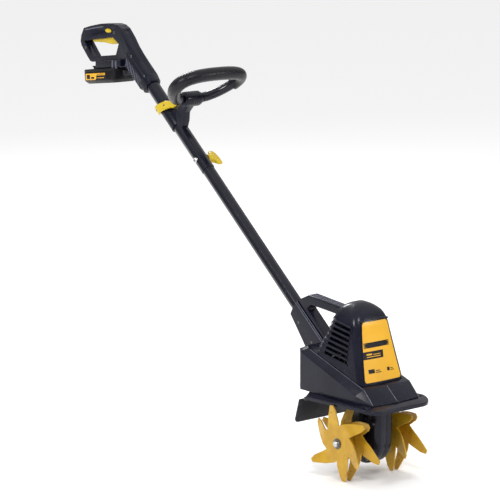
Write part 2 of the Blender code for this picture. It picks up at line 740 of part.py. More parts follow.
def make_gear_case():
    """Two case halves with seats for the axle bearings and the worm's lower bush."""
    case = new_piece("gear_case", case_solid(CASE_HALF_WIDTH, 0.0, CASE_EDGE), "navy_plastic")
    cut(case, tool(case_solid(CASE_HALF_WIDTH - CASE_WALL, CASE_WALL, CASE_INNER_EDGE, 20.0)))
    inner = CASE_HALF_WIDTH - CASE_WALL
    seat = BEARING_OUTER + GAP
    for side, _ in SIDES:
        out = side * ACROSS
        boss = washer(AXLE_CENTRE + (inner - BOSS_INSET) * out, out, BOSS_DEPTH, seat,
                      seat + BOSS_WALL)
        join(case, tool(boss))
        hole = rod(AXLE_CENTRE + (inner - BOSS_INSET - BOSS_WALL) * out, out, 20.0, seat)
        cut(case, tool(hole))
    high = bush_bottom() + BUSH_HEIGHT
    reach = BUSH_RADIUS + BUSH_BLOCK_WALL
    join(case, tool(block((-inner - 1.0, WORM_Y - reach, BUSH_BLOCK_LOW),
                          (inner + 1.0, WORM_Y + BUSH_RADIUS - 2.0, high))))
    cut(case, tool(rod((0.0, WORM_Y, bush_bottom() - GAP), (0, 0, 1), 40.0, BUSH_RADIUS + GAP)))
    halves(case, "gear_case_left", "gear_case_right")
    for side, word in SIDES:
        out = side * ACROSS
        start = CASE_HALF_WIDTH - BEARING_WIDTH
        bearing = washer(AXLE_CENTRE + start * out, out, BEARING_WIDTH,
                         AXLE_RADIUS + BEARING_RUNNING_GAP, BEARING_OUTER, FINE)
        new_piece(f"axle_bearing_{word}", bearing, "dark_steel")
        seal = washer(AXLE_CENTRE + (CASE_HALF_WIDTH + GAP) * out, out, SEAL_WIDTH,
                      AXLE_RADIUS + BEARING_RUNNING_GAP, SEAL_RADIUS, FINE)
        new_piece(f"axle_seal_{word}", seal, "rubber")
    bush = washer((0.0, WORM_Y, bush_bottom()), (0, 0, 1), BUSH_HEIGHT,
                  WORM_TIP_RADIUS + BEARING_RUNNING_GAP, BUSH_RADIUS)
    new_piece("worm_bush", bush, "bronze")


def worm_bottom():
    """Lower end of the worm's thread."""
    return AXLE_HEIGHT - WORM_LENGTH / 2


def bush_bottom():
    """Lower face of the worm's bush."""
    return worm_bottom() - 3.0 - BUSH_HEIGHT


# ---------------------------------------------------------------- motor

def motor_base():
    """Underside of the motor can, on its mount."""
    return CASE_TOP + GAP + MOUNT_THICKNESS + GAP


def make_motor():
    """Mount, can, end cap, and the rotor with its worm and fan."""
    up = Vector((0, 0, 1))
    foot = Vector((0.0, WORM_Y, 0.0))
    mount = washer(foot + (CASE_TOP + GAP) * up, up, MOUNT_THICKNESS,
                   ROTOR_SHAFT_RADIUS + 1.0, MOUNT_RADIUS)
    new_piece("motor_mount", mount, "zinc_steel")
    base = motor_base()
    inner = MOTOR_RADIUS - MOTOR_WALL
    hole = ROTOR_SHAFT_RADIUS + 1.0
    profile = ((0.0, hole), (0.0, MOTOR_RADIUS), (MOTOR_HEIGHT, MOTOR_RADIUS),
               (MOTOR_HEIGHT, inner), (MOTOR_WALL, inner), (MOTOR_WALL, hole))
    new_piece("motor_can", turned(profile, foot + base * up, up, ring=True), "zinc_steel")
    top = base + MOTOR_HEIGHT + GAP
    cap = washer(foot + top * up, up, END_CAP_HEIGHT, hole, MOTOR_RADIUS)
    new_piece("motor_end_cap", cap, "black_plastic")

    fan_at = top + END_CAP_HEIGHT + FAN_LIFT
    shaft_top = fan_at + FAN_HEIGHT
    rows = [(bush_bottom() + 1.0, WORM_TIP_RADIUS, False),
            (worm_bottom() - 1.5, WORM_TIP_RADIUS, False)]
    steps = round(WORM_LENGTH / WORM_PITCH * 8)
    for i in range(steps + 1):
        rows.append((worm_bottom() + WORM_LENGTH * i / steps, 0.0, True))
    rows.append((worm_bottom() + WORM_LENGTH + 1.5, ROTOR_SHAFT_RADIUS, False))
    rows.append((shaft_top, ROTOR_SHAFT_RADIUS, False))
    segments = 16
    loops = []
    for z, radius, threaded in rows:
        loop = []
        for k in range(segments):
            angle = math.tau * k / segments
            size = worm_radius(angle, z) if threaded else radius
            loop.append(Vector((size * math.cos(angle), WORM_Y + size * math.sin(angle), z)))
        loops.append(loop)
    shaft = new_piece("worm_shaft", loft(loops), "dark_steel", foot)
    core_at = base + MOTOR_WALL + CORE_LIFT
    bore = ROTOR_SHAFT_RADIUS + GAP
    core = new_piece("rotor_core", washer(foot + core_at * up, up, ROTOR_HEIGHT, bore,
                                          ROTOR_RADIUS), "copper", foot)
    fan = make_fan(foot + fan_at * up, bore, foot)
    pivot("motor_axis", foot, shaft, core, fan)


def worm_radius(angle, z):
    """Single-start thread: its crest is level with the axle on the side facing the wheel."""
    turn = (z - AXLE_HEIGHT) / WORM_PITCH - (angle - 1.5 * math.pi) / math.tau
    place = abs(turn - round(turn))
    half_tooth = 0.25 * (1 - 2 * TOOTH_BACKLASH / WORM_PITCH)
    crest = half_tooth * THREAD_CREST
    foot = half_tooth * THREAD_ROOT
    height = min(1.0, max(0.0, (foot - place) / (foot - crest)))
    return WORM_PITCH_RADIUS - TOOTH_DEDENDUM + height * (TOOTH_ADDENDUM + TOOTH_DEDENDUM)


def make_fan(start, bore, origin):
    """Radial fan: a disc with upright blades."""
    up = Vector((0, 0, 1))
    fan = new_piece("cooling_fan", washer(start, up, FAN_DISC, bore, FAN_RADIUS), "black_plastic",
                    origin)
    for i in range(FAN_BLADES):
        turn = Matrix.Rotation(math.tau * i / FAN_BLADES, 4, "Z")
        blade = block((FAN_EYE, -1.0, 1.0), (FAN_RADIUS - 0.5, 1.0, FAN_HEIGHT - 1.0))
        bmesh.ops.transform(blade, matrix=Matrix.Translation(start) @ turn, verts=blade.verts)
        join(fan, tool(blade))
    return fan


# ---------------------------------------------------------------- shield and flap

def rim_height(y):
    """Top of the shield's arched rim."""
    return between(RIM_HEIGHTS, y)


def make_shield():
    """Tine guard: a roof round the gear case, flaring to an arched rim with a lip."""
    def loop(inset, corner, height):
        return rounded_rectangle(SHIELD_HALF_WIDTH - inset, SHIELD_FRONT + inset * 1.1,
                                 SHIELD_REAR - inset * 0.5, corner, corner * 0.6, height, arc=6)

    hole_x = CASE_HALF_WIDTH + SHIELD_HOLE_GAP
    hole_y = CASE_RADIUS + SHIELD_HOLE_GAP
    roof = SHIELD_ROOF
    under = SHIELD_ROOF - SHIELD_WALL

    def opening(height):
        return rounded_rectangle(hole_x, -hole_y, hole_y, 6.0, 6.0, lambda y: height, arc=6)

    loops = [
        opening(roof),
        loop(ROOF_INSET, ROOF_CORNER, lambda y: roof),
        loop(SHIELD_LIP_WIDTH, SHIELD_INNER_CORNER, lambda y: rim_height(y) - 1.0),
        loop(1.0, SHIELD_CORNER, lambda y: rim_height(y) - 0.2),
        loop(0.0, SHIELD_CORNER, lambda y: rim_height(y) - 1.5),
        loop(0.0, SHIELD_CORNER, lambda y: rim_height(y) - SHIELD_LIP),
        loop(SHIELD_LIP_WIDTH, SHIELD_INNER_CORNER, lambda y: rim_height(y) - SHIELD_LIP),
        loop(SHIELD_LIP_WIDTH, SHIELD_INNER_CORNER,
             lambda y: rim_height(y) - 1.0 - SHIELD_WALL),
        loop(ROOF_INSET + 1.0, ROOF_CORNER, lambda y: under),
        opening(under),
    ]
    new_piece("tine_shield", loft(loops, ring=True), "navy_plastic")


def make_flap():
    """Soil flap that hangs behind the tines, with its lower corners rounded."""
    top = rim_height(SHIELD_REAR) - SHIELD_LIP + FLAP_OVERLAP
    wide = FLAP_HALF_WIDTH
    left = []
    for i in range(6):
        angle = math.radians(90.0 * i / 5)
        left.append((wide - FLAP_CORNER * (1 - math.sin(angle)),
                     FLAP_BOTTOM + FLAP_CORNER * (1 - math.cos(angle))))
    left.append((wide, top))
    outline = left + [(-x, z) for x, z in reversed(left)]
    loops = []
    for depth in (GAP, GAP + FLAP_THICKNESS):
        face = SHIELD_REAR + depth
        loops.append([Vector((x, face + FLAP_RAKE * (top - z) / (top - FLAP_BOTTOM), z))
                      for x, z in outline])
    new_piece("rear_flap", loft(loops), "grey_plastic")


# ---------------------------------------------------------------- deck and motor cover

def plateau(y):
    """Height of the deck's sloping top."""
    return PLATEAU_FRONT_HEIGHT + PLATEAU_SLOPE * (y - PLATEAU_FRONT)


def side_top(y):
    """Height of the deck's side walls."""
    return SIDE_FRONT_HEIGHT + SIDE_SLOPE * (y - SIDE_FRONT_Y)


def deck_loop(points):
    """Mirror half a plan outline of (x, y, z) points, front to rear, into a closed loop."""
    right = [Vector((-x, y, z)) for x, y, z in points if x > 0]
    return [Vector(point) for point in points] + right[::-1]


def deck_shell_loops(inset, floor):
    """Loops of the deck's skin from its foot to the edge of the motor opening."""
    side = DECK_HALF_WIDTH - inset
    top = PLATEAU_HALF_WIDTH - inset
    front = DECK_FRONT + inset
    rear = DECK_REAR - inset
    crest = PLATEAU_FRONT + inset * 0.4
    shoulder = front + DECK_FRONT_STEP
    heel = rear - DECK_REAR_STEP
    corner = side - DECK_REAR_CORNER
    low_front = SHIELD_ROOF + DECK_FRONT_RISE - inset
    foot = ((0.0, front, floor), (top, shoulder, floor), (side, SIDE_FRONT_Y, floor),
            (side, heel, floor), (corner, rear, floor), (0.0, rear, floor))
    edge = ((0.0, front, low_front), (top, shoulder, low_front),
            (side, SIDE_FRONT_Y, side_top(SIDE_FRONT_Y) - inset),
            (side, heel, side_top(heel) - inset),
            (corner, rear, side_top(rear) - inset), (0.0, rear, side_top(rear) - inset))
    crown = ((0.0, crest), (top, crest), (top, SIDE_FRONT_Y + DECK_SIDE_STEP),
             (top, rear - DECK_TOP_STEP), (top - DECK_REAR_CORNER, heel), (0.0, heel))
    x = DOME_HOLE_HALF_WIDTH
    hole = ((0.0, DOME_HOLE_FRONT), (x, DOME_HOLE_FRONT), (x, DOME_HOLE_FRONT + HOLE_STEP),
            (x, DOME_HOLE_REAR - HOLE_STEP), (x - DECK_REAR_CORNER, DOME_HOLE_REAR),
            (0.0, DOME_HOLE_REAR))
    band, mouth = [[(px, py, plateau(py) - inset) for px, py in level] for level in (crown, hole)]
    return [deck_loop(points) for points in (foot, edge, band, mouth)]


def socket_outline(grow=0.0):
    """Side outline of the shaft socket with its gusset; grow adds a clearance all round."""
    low = -SOCKET_HALF_DEPTH - grow
    high = SOCKET_HALF_DEPTH + grow
    lip = along(SOCKET_LIP[0] + grow, SOCKET_LIP[1] - grow)
    bend = along((SOCKET_FOOT[0] - SHAFT_MOUTH[0] - low * SHAFT_OUT.y) / SHAFT_UP.y, low)
    ends = [along(SOCKET_START - grow, low), along(SOCKET_START - grow, high),
            along(grow - 2.0, high)]
    points = [(lip.y, lip.z), (SOCKET_FOOT[0] + grow, SOCKET_FOOT[1] - grow), (bend.y, bend.z)]
    return points + [(point.y, point.z) for point in ends]


def make_deck():
    """Deck halves: a wedge-shaped shell with facets, open below, cut for the shaft socket."""
    floor = SHIELD_ROOF + GAP
    outer = deck_shell_loops(0.0, floor)
    inner = deck_shell_loops(DECK_WALL, floor)
    deck = new_piece("deck", loft(outer + inner[::-1], ring=True), "navy_plastic")
    wide = SOCKET_HALF_WIDTH + GAP
    cut(deck, tool(slab(socket_outline(GAP), -wide, wide)))
    halves(deck, "deck_left", "deck_right")


def cover_height(level, y, grow):
    """Height of the motor cover's level at y, lifted with the skin near the top."""
    front, rear, _, low, high, _ = COVER_LEVELS[level]
    if level == 0:
        return plateau(y) + (GAP if grow <= 0 else -TRIM_DEPTH)
    lift = 0.0
    if level == len(COVER_LEVELS) - 1:
        lift = grow
    elif level > 3:
        lift = grow * 0.5
    return low + (high - low) * (y - front) / (rear - front) + lift


def cover_loops(grow=0.0):
    """Loops of the motor cover from the deck up; grow moves the skin out, or in if negative."""
    loops = []
    for level, (front, rear, wide, _, _, corner) in enumerate(COVER_LEVELS):
        loops.append(rounded_rectangle(wide + grow, front - grow, rear + grow, corner,
                                       corner * COVER_REAR_CORNER,
                                       lambda y, level=level: cover_height(level, y, grow), arc=5))
    return loops


def cover_solid(grow):
    """Closed body of the cover's outside, grown by a clearance, for trimming its neighbours."""
    return loft(cover_loops(grow))


def make_cover():
    """Motor cover: one shell, open below, with louvres in both sides."""
    outer = cover_loops()
    inner = cover_loops(-COVER_WALL)
    cover = new_piece("motor_cover", loft(outer[::-1] + inner), "navy_plastic")
    for i in range(LOUVRE_COUNT):
        z = LOUVRE_BOTTOM + i * LOUVRE_PITCH
        rear = LOUVRE_REAR - LOUVRE_STEP * i
        slope = PLATEAU_SLOPE * 0.5
        outline = ((LOUVRE_FRONT, z), (rear, z + slope * (rear - LOUVRE_FRONT)),
                   (rear, z + LOUVRE_HEIGHT + slope * (rear - LOUVRE_FRONT)),
                   (LOUVRE_FRONT, z + LOUVRE_HEIGHT))
        cut(cover, tool(slab(outline, -90.0, 90.0)))


def cover_front(z):
    """Depth of the cover's front face at a height."""
    rows = [(plateau(COVER_LEVELS[0][0]), COVER_LEVELS[0][0])]
    rows += [(level[3], level[0]) for level in COVER_LEVELS[1:5]]
    return between(rows, z)


def make_label():
    """Front panel: a thin tapered plate that follows the cover's face."""
    low = plateau(COVER_LEVELS[0][0]) + LABEL_MARGIN
    high = COVER_LEVELS[4][3] + 1.0
    steps = 6
    loops = []
    for y_off in (-GAP, -GAP - LABEL_THICKNESS):
        left = []
        right = []
        for i in range(steps + 1):
            z = low + (high - low) * i / steps
            narrowing = (LABEL_BOTTOM_HALF_WIDTH - LABEL_TOP_HALF_WIDTH) * i / steps
            wide = LABEL_BOTTOM_HALF_WIDTH - narrowing
            y = cover_front(z) + y_off
            left.append(Vector((-wide, y, z)))
            right.append(Vector((wide, y, z)))
        loops.append((left, right))
    bm = bmesh.new()
    grid = [[[bm.verts.new(v) for v in side] for side in layer] for layer in loops]
    back, face = grid
    for i in range(steps):
        bm.faces.new((back[0][i], back[1][i], back[1][i + 1], back[0][i + 1]))
        bm.faces.new((face[0][i], face[0][i + 1], face[1][i + 1], face[1][i]))
        for k in (0, 1):
            bm.faces.new((back[k][i], back[k][i + 1], face[k][i + 1], face[k][i]))
    for end in (0, steps):
        bm.faces.new((back[0][end], back[1][end], face[1][end], face[0][end]))
    new_piece("front_panel", bm, "label_film")


# ---------------------------------------------------------------- shaft

def fluted_loop(distance, radius):
    """Section of a fluted tube, square to the shaft."""
    segments = TUBE_FLUTES * 4
    points = []
    for k in range(segments):
        angle = math.tau * k / segments
        size = radius - FLUTE_DEPTH * (0.5 - 0.5 * math.cos(TUBE_FLUTES * angle))
        points.append(along(distance, size * math.cos(angle), size * math.sin(angle)))
    return points


def fluted_tube(low, high, radius, wall):
    """Fluted tube between two distances along the shaft."""
    return loft([fluted_loop(low, radius), fluted_loop(high, radius),
                 fluted_loop(high, radius - wall), fluted_loop(low, radius - wall)], ring=True)


def make_shaft():
    """Socket, lower and upper tubes, and the bolt and wing knob that clamp them."""
    bore = LOWER_TUBE_RADIUS + GAP
    wide = SOCKET_HALF_WIDTH
    socket = new_piece("shaft_socket", slab(socket_outline(), -wide, wide), "navy_plastic")
    soften(socket, 3.0)
    cut(socket, tool(rod(along(SOCKET_START - 10.0), SHAFT_UP, 200.0, bore)))
    lower = new_piece("lower_tube", fluted_tube(LOWER_TUBE_START, JOINT_AT + TUBE_OVERLAP,
                                                LOWER_TUBE_RADIUS, TUBE_WALL), "tube_paint")
    upper = new_piece("upper_tube", fluted_tube(JOINT_AT, UPPER_TUBE_END, UPPER_TUBE_RADIUS,
                                                TUBE_WALL), "tube_paint")
    hole = JOINT_BOLT_RADIUS + GAP
    for tube in (lower, upper):
        cut(tube, tool(rod(along(JOINT_BOLT_AT, 0.0, -40.0), ACROSS, 80.0, hole, 12)))

    seat = UPPER_TUBE_RADIUS + GAP
    bolt_end = seat + KNOB_DEPTH - 2.0
    head = -seat - JOINT_HEAD_HEIGHT
    profile = ((head, JOINT_HEAD_TOP), (head + 0.8, JOINT_HEAD_RADIUS), (-seat, JOINT_HEAD_RADIUS),
               (-seat, JOINT_BOLT_RADIUS), (bolt_end, JOINT_BOLT_RADIUS))
    centre = along(JOINT_BOLT_AT)
    new_piece("joint_bolt", turned(profile, centre, ACROSS, 18), "zinc_steel")
    bore = JOINT_BOLT_RADIUS + GAP
    knob = new_piece("joint_knob", turned(((seat + 0.5, bore), (seat + 0.5, KNOB_HUB_RADIUS + 1.5),
                                           (seat + KNOB_DEPTH, KNOB_HUB_RADIUS),
                                           (seat + KNOB_DEPTH, bore)), centre, ACROSS, 18, True),
                     "yellow_plastic", centre)
    wing = []
    turn = math.radians(KNOB_TURN)
    wing_up = math.cos(turn) * SHAFT_UP + math.sin(turn) * SHAFT_OUT
    wing_out = math.cos(turn) * SHAFT_OUT - math.sin(turn) * SHAFT_UP
    for reach, share in KNOB_WINGS:
        x = seat + reach
        span = KNOB_SPAN * share
        thick = KNOB_WIDTH / 2
        shape = ((-span, -thick * 0.5), (-span * 0.6, -thick), (span * 0.6, -thick),
                 (span, -thick * 0.5), (span, thick * 0.5), (span * 0.6, thick),
                 (-span * 0.6, thick), (-span, thick * 0.5))
        wing.append([centre + x * ACROSS + a * wing_up + b * wing_out for a, b in shape])
    join(knob, tool(loft(wing)))
    cut(knob, tool(rod(centre, ACROSS, bolt_end + GAP + 0.2, bore, 18)))
    pivot("knob_axis", centre, knob)


def make_carry_handle():
    """Carry handle: a strut along the socket and a bar forward to the motor cover."""
    low = SOCKET_HALF_DEPTH + GAP
    high = low + CARRY_STRUT_DEPTH
    points = [along(CARRY_STRUT_END, low), along(-CARRY_STRUT_LENGTH, low),
              along(-CARRY_STRUT_LENGTH, high), along(CARRY_STRUT_BEND, high)]
    outline = [(point.y, point.z) for point in points]
    outline += [CARRY_UNDER_REAR, CARRY_UNDER_FRONT, CARRY_TOP_FRONT, CARRY_TOP_REAR]
    handle = new_piece("carry_handle", slab(outline, -CARRY_HALF_WIDTH, CARRY_HALF_WIDTH),
                       "navy_plastic")
    soften(handle, 2.5)
    cut(handle, tool(cover_solid(GAP)))
    front, rear = -100.0, 300.0
    ground = ((front, 0.0), (rear, 0.0), (rear, plateau(rear) + GAP), (front, plateau(front) + GAP))
    cut(handle, tool(slab(ground, -40.0, 40.0)))


# ---------------------------------------------------------------- loop handle

def loop_point(x, depth):
    """Point of the loop handle: sideways and forward from the barrel, on its tilted plane."""
    tilt = math.radians(LOOP_TILT)
    return Vector((x, BARREL_AT[0] - depth * math.cos(tilt), BARREL_AT[1] + depth * math.sin(tilt)))


def loop_path():
    """Centre line of the loop, from the barrel's right end round to its left end."""
    left = [loop_point(x, depth) for x, depth in LOOP_POINTS]
    right = [loop_point(-x, depth) for x, depth in LOOP_POINTS]
    return smooth_path(right + [loop_point(0.0, LOOP_DEPTH)] + left[::-1])


def make_loop_handle():
    """Collar, neck and barrel, the bent tube with its foam grip, the lever and its pin."""
    bore = UPPER_TUBE_RADIUS + GAP
    barrel_centre = Vector((0.0, *BARREL_AT))
    profile = ((-BARREL_HALF_LENGTH, BARREL_RIGHT_RADIUS), (4.0 - BARREL_HALF_LENGTH, BARREL_RADIUS),
               (BARREL_HALF_LENGTH - 8.0, BARREL_RADIUS), (BARREL_HALF_LENGTH, BARREL_LEFT_RADIUS))
    bracket = new_piece("loop_bracket", turned(profile, barrel_centre, ACROSS, 24),
                        "navy_plastic", barrel_centre)
    neck = []
    for distance, out, wide, long in NECK_SECTIONS:
        neck.append([along(distance + a * long, out, b * wide)
                     for a, b in ((-1, -0.6), (-0.6, -1), (0.6, -1), (1, -0.6),
                                  (1, 0.6), (0.6, 1), (-0.6, 1), (-1, 0.6))])
    join(bracket, tool(loft(neck)))
    collar = rod(along(COLLAR_START), SHAFT_UP, COLLAR_END - COLLAR_START, COLLAR_RADIUS, 28)
    join(bracket, tool(collar))
    cut(bracket, tool(rod(along(COLLAR_START - 30.0), SHAFT_UP, 160.0, bore, 32)))

    path = loop_path()
    tube = new_piece("loop_tube", tube_along(path, LOOP_TUBE_RADIUS,
                                             LOOP_TUBE_RADIUS - LOOP_TUBE_WALL, 12), "tube_paint",
                     barrel_centre)
    ends = []
    for side in (-1, 1):
        start = loop_point(side * LOOP_POINTS[0][0], LOOP_POINTS[0][1])
        towards = loop_point(side * LOOP_POINTS[1][0], LOOP_POINTS[1][1])
        direction = (towards - start).normalized()
        foot = start - LOOP_SOCKET_DEPTH * direction
        ends.append(tool(rod(foot, direction, 40.0, LOOP_TUBE_RADIUS + GAP, 16)))
    cut(bracket, *ends)
    grip_path = path[GRIP_FROM:GRIP_TO]
    grip = new_piece("loop_grip", tube_along(grip_path, GRIP_RADIUS, LOOP_TUBE_RADIUS + GAP, 14),
                     "foam", barrel_centre)
    lever_centre = lever_at(LEVER_PIN_OUT)
    reach = LEVER_HEIGHT / 2 + GAP
    pin_hole = LEVER_PIN_RADIUS + GAP
    for low in (lever_centre - reach - KNUCKLE_LENGTH, lever_centre + reach):
        join(bracket, tool(knuckle(low, KNUCKLE_LENGTH)))
    hole_start = lever_centre - 40.0
    cut(bracket, tool(rod(along(hole_start, LEVER_PIN_OUT), SHAFT_UP, 80.0, pin_hole, 16)))
    room = rod(along(lever_centre - reach, LEVER_PIN_OUT), SHAFT_UP, 2 * reach,
               KNUCKLE_RADIUS + KNUCKLE_ROOM, 16)
    cut(bracket, tool(room))
    pin_length = 2 * (reach + KNUCKLE_LENGTH)
    pin_start = along(lever_centre - pin_length / 2, LEVER_PIN_OUT)
    pin = new_piece("lever_pin", rod(pin_start, SHAFT_UP, pin_length, LEVER_PIN_RADIUS, 16),
                    "zinc_steel", barrel_centre)
    pivot("loop_slide", barrel_centre, bracket, tube, grip, pin)
    make_lever()


def lever_at(out):
    """Distance along the shaft of the lever's middle, at a depth out of the shaft's axis."""
    return LEVER_AT - LEVER_SLANT * out


def knuckle(low, length):
    """Hinge knuckle with a web back to the collar."""
    half = KNUCKLE_RADIUS
    inner = UPPER_TUBE_RADIUS + 1.0
    profile = []
    for i in range(9):
        angle = math.radians(-90.0 + 180.0 * i / 8)
        profile.append((LEVER_PIN_OUT + half * math.cos(angle), half * math.sin(angle)))
    profile += [(inner, half), (inner, -half)]
    return loft([[along(distance, out, x) for out, x in profile] for distance in (low, low + length)])


def make_lever():
    """Clamp lever that wraps round the collar's right side from its hinge in front."""
    steps = 10
    loops = []
    for k in range(steps + 1):
        share = k / steps
        angle = math.radians(LEVER_REAR_ANGLE + (LEVER_FRONT_ANGLE - LEVER_REAR_ANGLE) * share)
        inner = LEVER_REAR_RADIUS + (LEVER_FRONT_RADIUS - LEVER_REAR_RADIUS) * share
        outer = inner + LEVER_THICKNESS
        middle = lever_at(inner * math.cos(angle))
        if k >= steps - 1:
            middle = lever_at(LEVER_PIN_OUT)
        loop = []
        for radius, height in ((inner, -0.5), (outer - 1.0, -0.5), (outer, -0.4), (outer, 0.4),
                               (outer - 1.0, 0.5), (inner, 0.5)):
            loop.append(along(middle + height * LEVER_HEIGHT, radius * math.cos(angle),
                              radius * math.sin(angle)))
        loops.append(loop)
    low = lever_at(LEVER_PIN_OUT) - LEVER_HEIGHT / 2
    axis_at = along(low + LEVER_HEIGHT / 2, LEVER_PIN_OUT)
    lever = new_piece("clamp_lever", loft(loops), "yellow_plastic", axis_at)
    join(lever, tool(rod(along(low, LEVER_PIN_OUT), SHAFT_UP, LEVER_HEIGHT, KNUCKLE_RADIUS, 16)))
    cut(lever, tool(rod(along(low - 5.0, LEVER_PIN_OUT), SHAFT_UP, LEVER_HEIGHT + 10.0,
                        LEVER_PIN_RADIUS + GAP, 16)))
    pivot("lever_axis", axis_at, lever)


# ---------------------------------------------------------------- rear handle

def make_rear_handle():
    """Rear handle halves with the trigger, its switch and the lock-off button."""
    body = slab(with_tube(*HANDLE_OUTLINE), -HANDLE_HALF_WIDTH, HANDLE_HALF_WIDTH)
    handle = new_piece("rear_handle", body, "navy_plastic")
    cut(handle, tool(slab(with_tube(*OPENING_OUTLINE), -40.0, 40.0)))
    soften(handle, HANDLE_EDGE)
    points = [along(UPPER_TUBE_END + distance, out) for distance, out in SLEEVE_OUTLINE]
    outline = [(point.y, point.z) for point in points]
    sleeve = tool(slab(outline, -SLEEVE_HALF_WIDTH, SLEEVE_HALF_WIDTH))
    soften(sleeve, SLEEVE_EDGE)
    join(handle, sleeve)
    join(handle, tool(rod(along(SLEEVE_START - SOCKET_EDGE), SHAFT_UP, SOCKET_ROOM, SLEEVE_RADIUS, 28)))
    bore = UPPER_TUBE_RADIUS + GRIP_BORE_GAP
    bore_start = SLEEVE_START - 47.0
    bore_length = UPPER_TUBE_END + GAP - bore_start
    cut(handle, tool(rod(along(bore_start), SHAFT_UP, bore_length, bore, 32)))
    wide = TRIGGER_HALF_WIDTH + TRIGGER_SIDE_GAP
    outline = with_tube(*TRIGGER_OUTLINE)
    rear, front, heel, brow = outline[0], outline[5], outline[6], outline[7]
    ahead = front[0] - POCKET_FRONT
    behind = rear[0] + POCKET_REAR
    pocket = ((behind, rear[1] - POCKET_LOW), (behind, rear[1] + TRIGGER_TRAVEL),
              (brow[0], brow[1] + POCKET_FRONT), (heel[0] - POCKET_TOP, heel[1] + POCKET_TOP),
              (ahead, front[1] + 1.0), (ahead, front[1] - POCKET_LOW + POCKET_FRONT))
    cut(handle, tool(slab(pocket, -wide, wide)))
    cut(handle, tool(switch_body(SWITCH_CLEARANCE)))
    cut(handle, tool(button_body(60.0, BUTTON_CLEARANCE)))
    halves(handle, "rear_handle_left", "rear_handle_right")

    centre = Vector((0.0, *with_tube(TRIGGER_PIVOT)[0]))
    trigger = new_piece("trigger", slab(outline, -TRIGGER_HALF_WIDTH, TRIGGER_HALF_WIDTH),
                        "yellow_plastic", centre)
    soften(trigger, 1.2, 1)
    cut(trigger, tool(rod(centre - 20.0 * ACROSS, ACROSS, 40.0, TRIGGER_PIN_RADIUS + GAP, 12)))
    pivot("trigger_axis", centre, trigger)
    pin = rod(centre - TRIGGER_HALF_WIDTH * ACROSS, ACROSS, 2 * TRIGGER_HALF_WIDTH,
              TRIGGER_PIN_RADIUS, 12)
    new_piece("trigger_pin", pin, "dark_steel")
    new_piece("trigger_switch", switch_body(0.0), "black_plastic")
    length = HANDLE_HALF_WIDTH + BUTTON_PROUD
    middle = Vector((0.0, *with_tube(BUTTON_AT)[0]))
    button = new_piece("lock_off_button", button_body(length, 0.0), "yellow_plastic", middle)
    pivot("button_axis", middle, button)


def switch_body(grow):
    """Switch in front of the trigger, in a pocket of the handle."""
    wide, deep, tall = SWITCH_SIZE
    rear, foot = with_tube((SWITCH_REAR, SWITCH_FOOT))[0]
    return block((-wide / 2 - grow, rear - deep - grow, foot - grow),
                 (wide / 2 + grow, rear + grow, foot + tall + grow))


def button_body(half_length, grow):
    """Oval cross button."""
    y, z = with_tube(BUTTON_AT)[0]
    loops = []
    for x, shrink in ((-half_length, BUTTON_EDGE), (BUTTON_EDGE - half_length, 0.0),
                      (half_length - BUTTON_EDGE, 0.0), (half_length, BUTTON_EDGE)):
        long = BUTTON_HALF_LENGTH + grow - shrink
        tall = BUTTON_HALF_HEIGHT + grow - shrink
        loop = []
        for k in range(20):
            angle = math.tau * k / 20
            loop.append(Vector((x, y + long * math.cos(angle), z + tall * math.sin(angle))))
        loops.append(loop)
    return loft(loops)


# ---------------------------------------------------------------- battery

def battery_point(forward, up, across=0.0):
    """Point on the battery: forward from its rear foot, and up from its floor."""
    tilt = math.radians(BATTERY_TILT)
    y, z = with_tube(BATTERY_FRONT)[0]
    back = BATTERY_LENGTH - forward
    return Vector((across, y + back * math.cos(tilt) + up * math.sin(tilt),
                   z - back * math.sin(tilt) + up * math.cos(tilt)))


def battery_loop(up, inset, corner):
    """Plan outline of the battery at a height above its floor."""
    points = []
    long = BATTERY_LENGTH / 2 - inset
    wide = BATTERY_HALF_WIDTH - inset
    for sx, sy, start in ((1, 1, 0), (-1, 1, 90), (-1, -1, 180), (1, -1, 270)):
        for i in range(4):
            angle = math.radians(start + 30.0 * i)
            x = sx * (wide - corner) + corner * math.cos(angle)
            y = sy * (long - corner) + corner * math.sin(angle)
            points.append(battery_point(BATTERY_LENGTH / 2 + y, up, x))
    return points


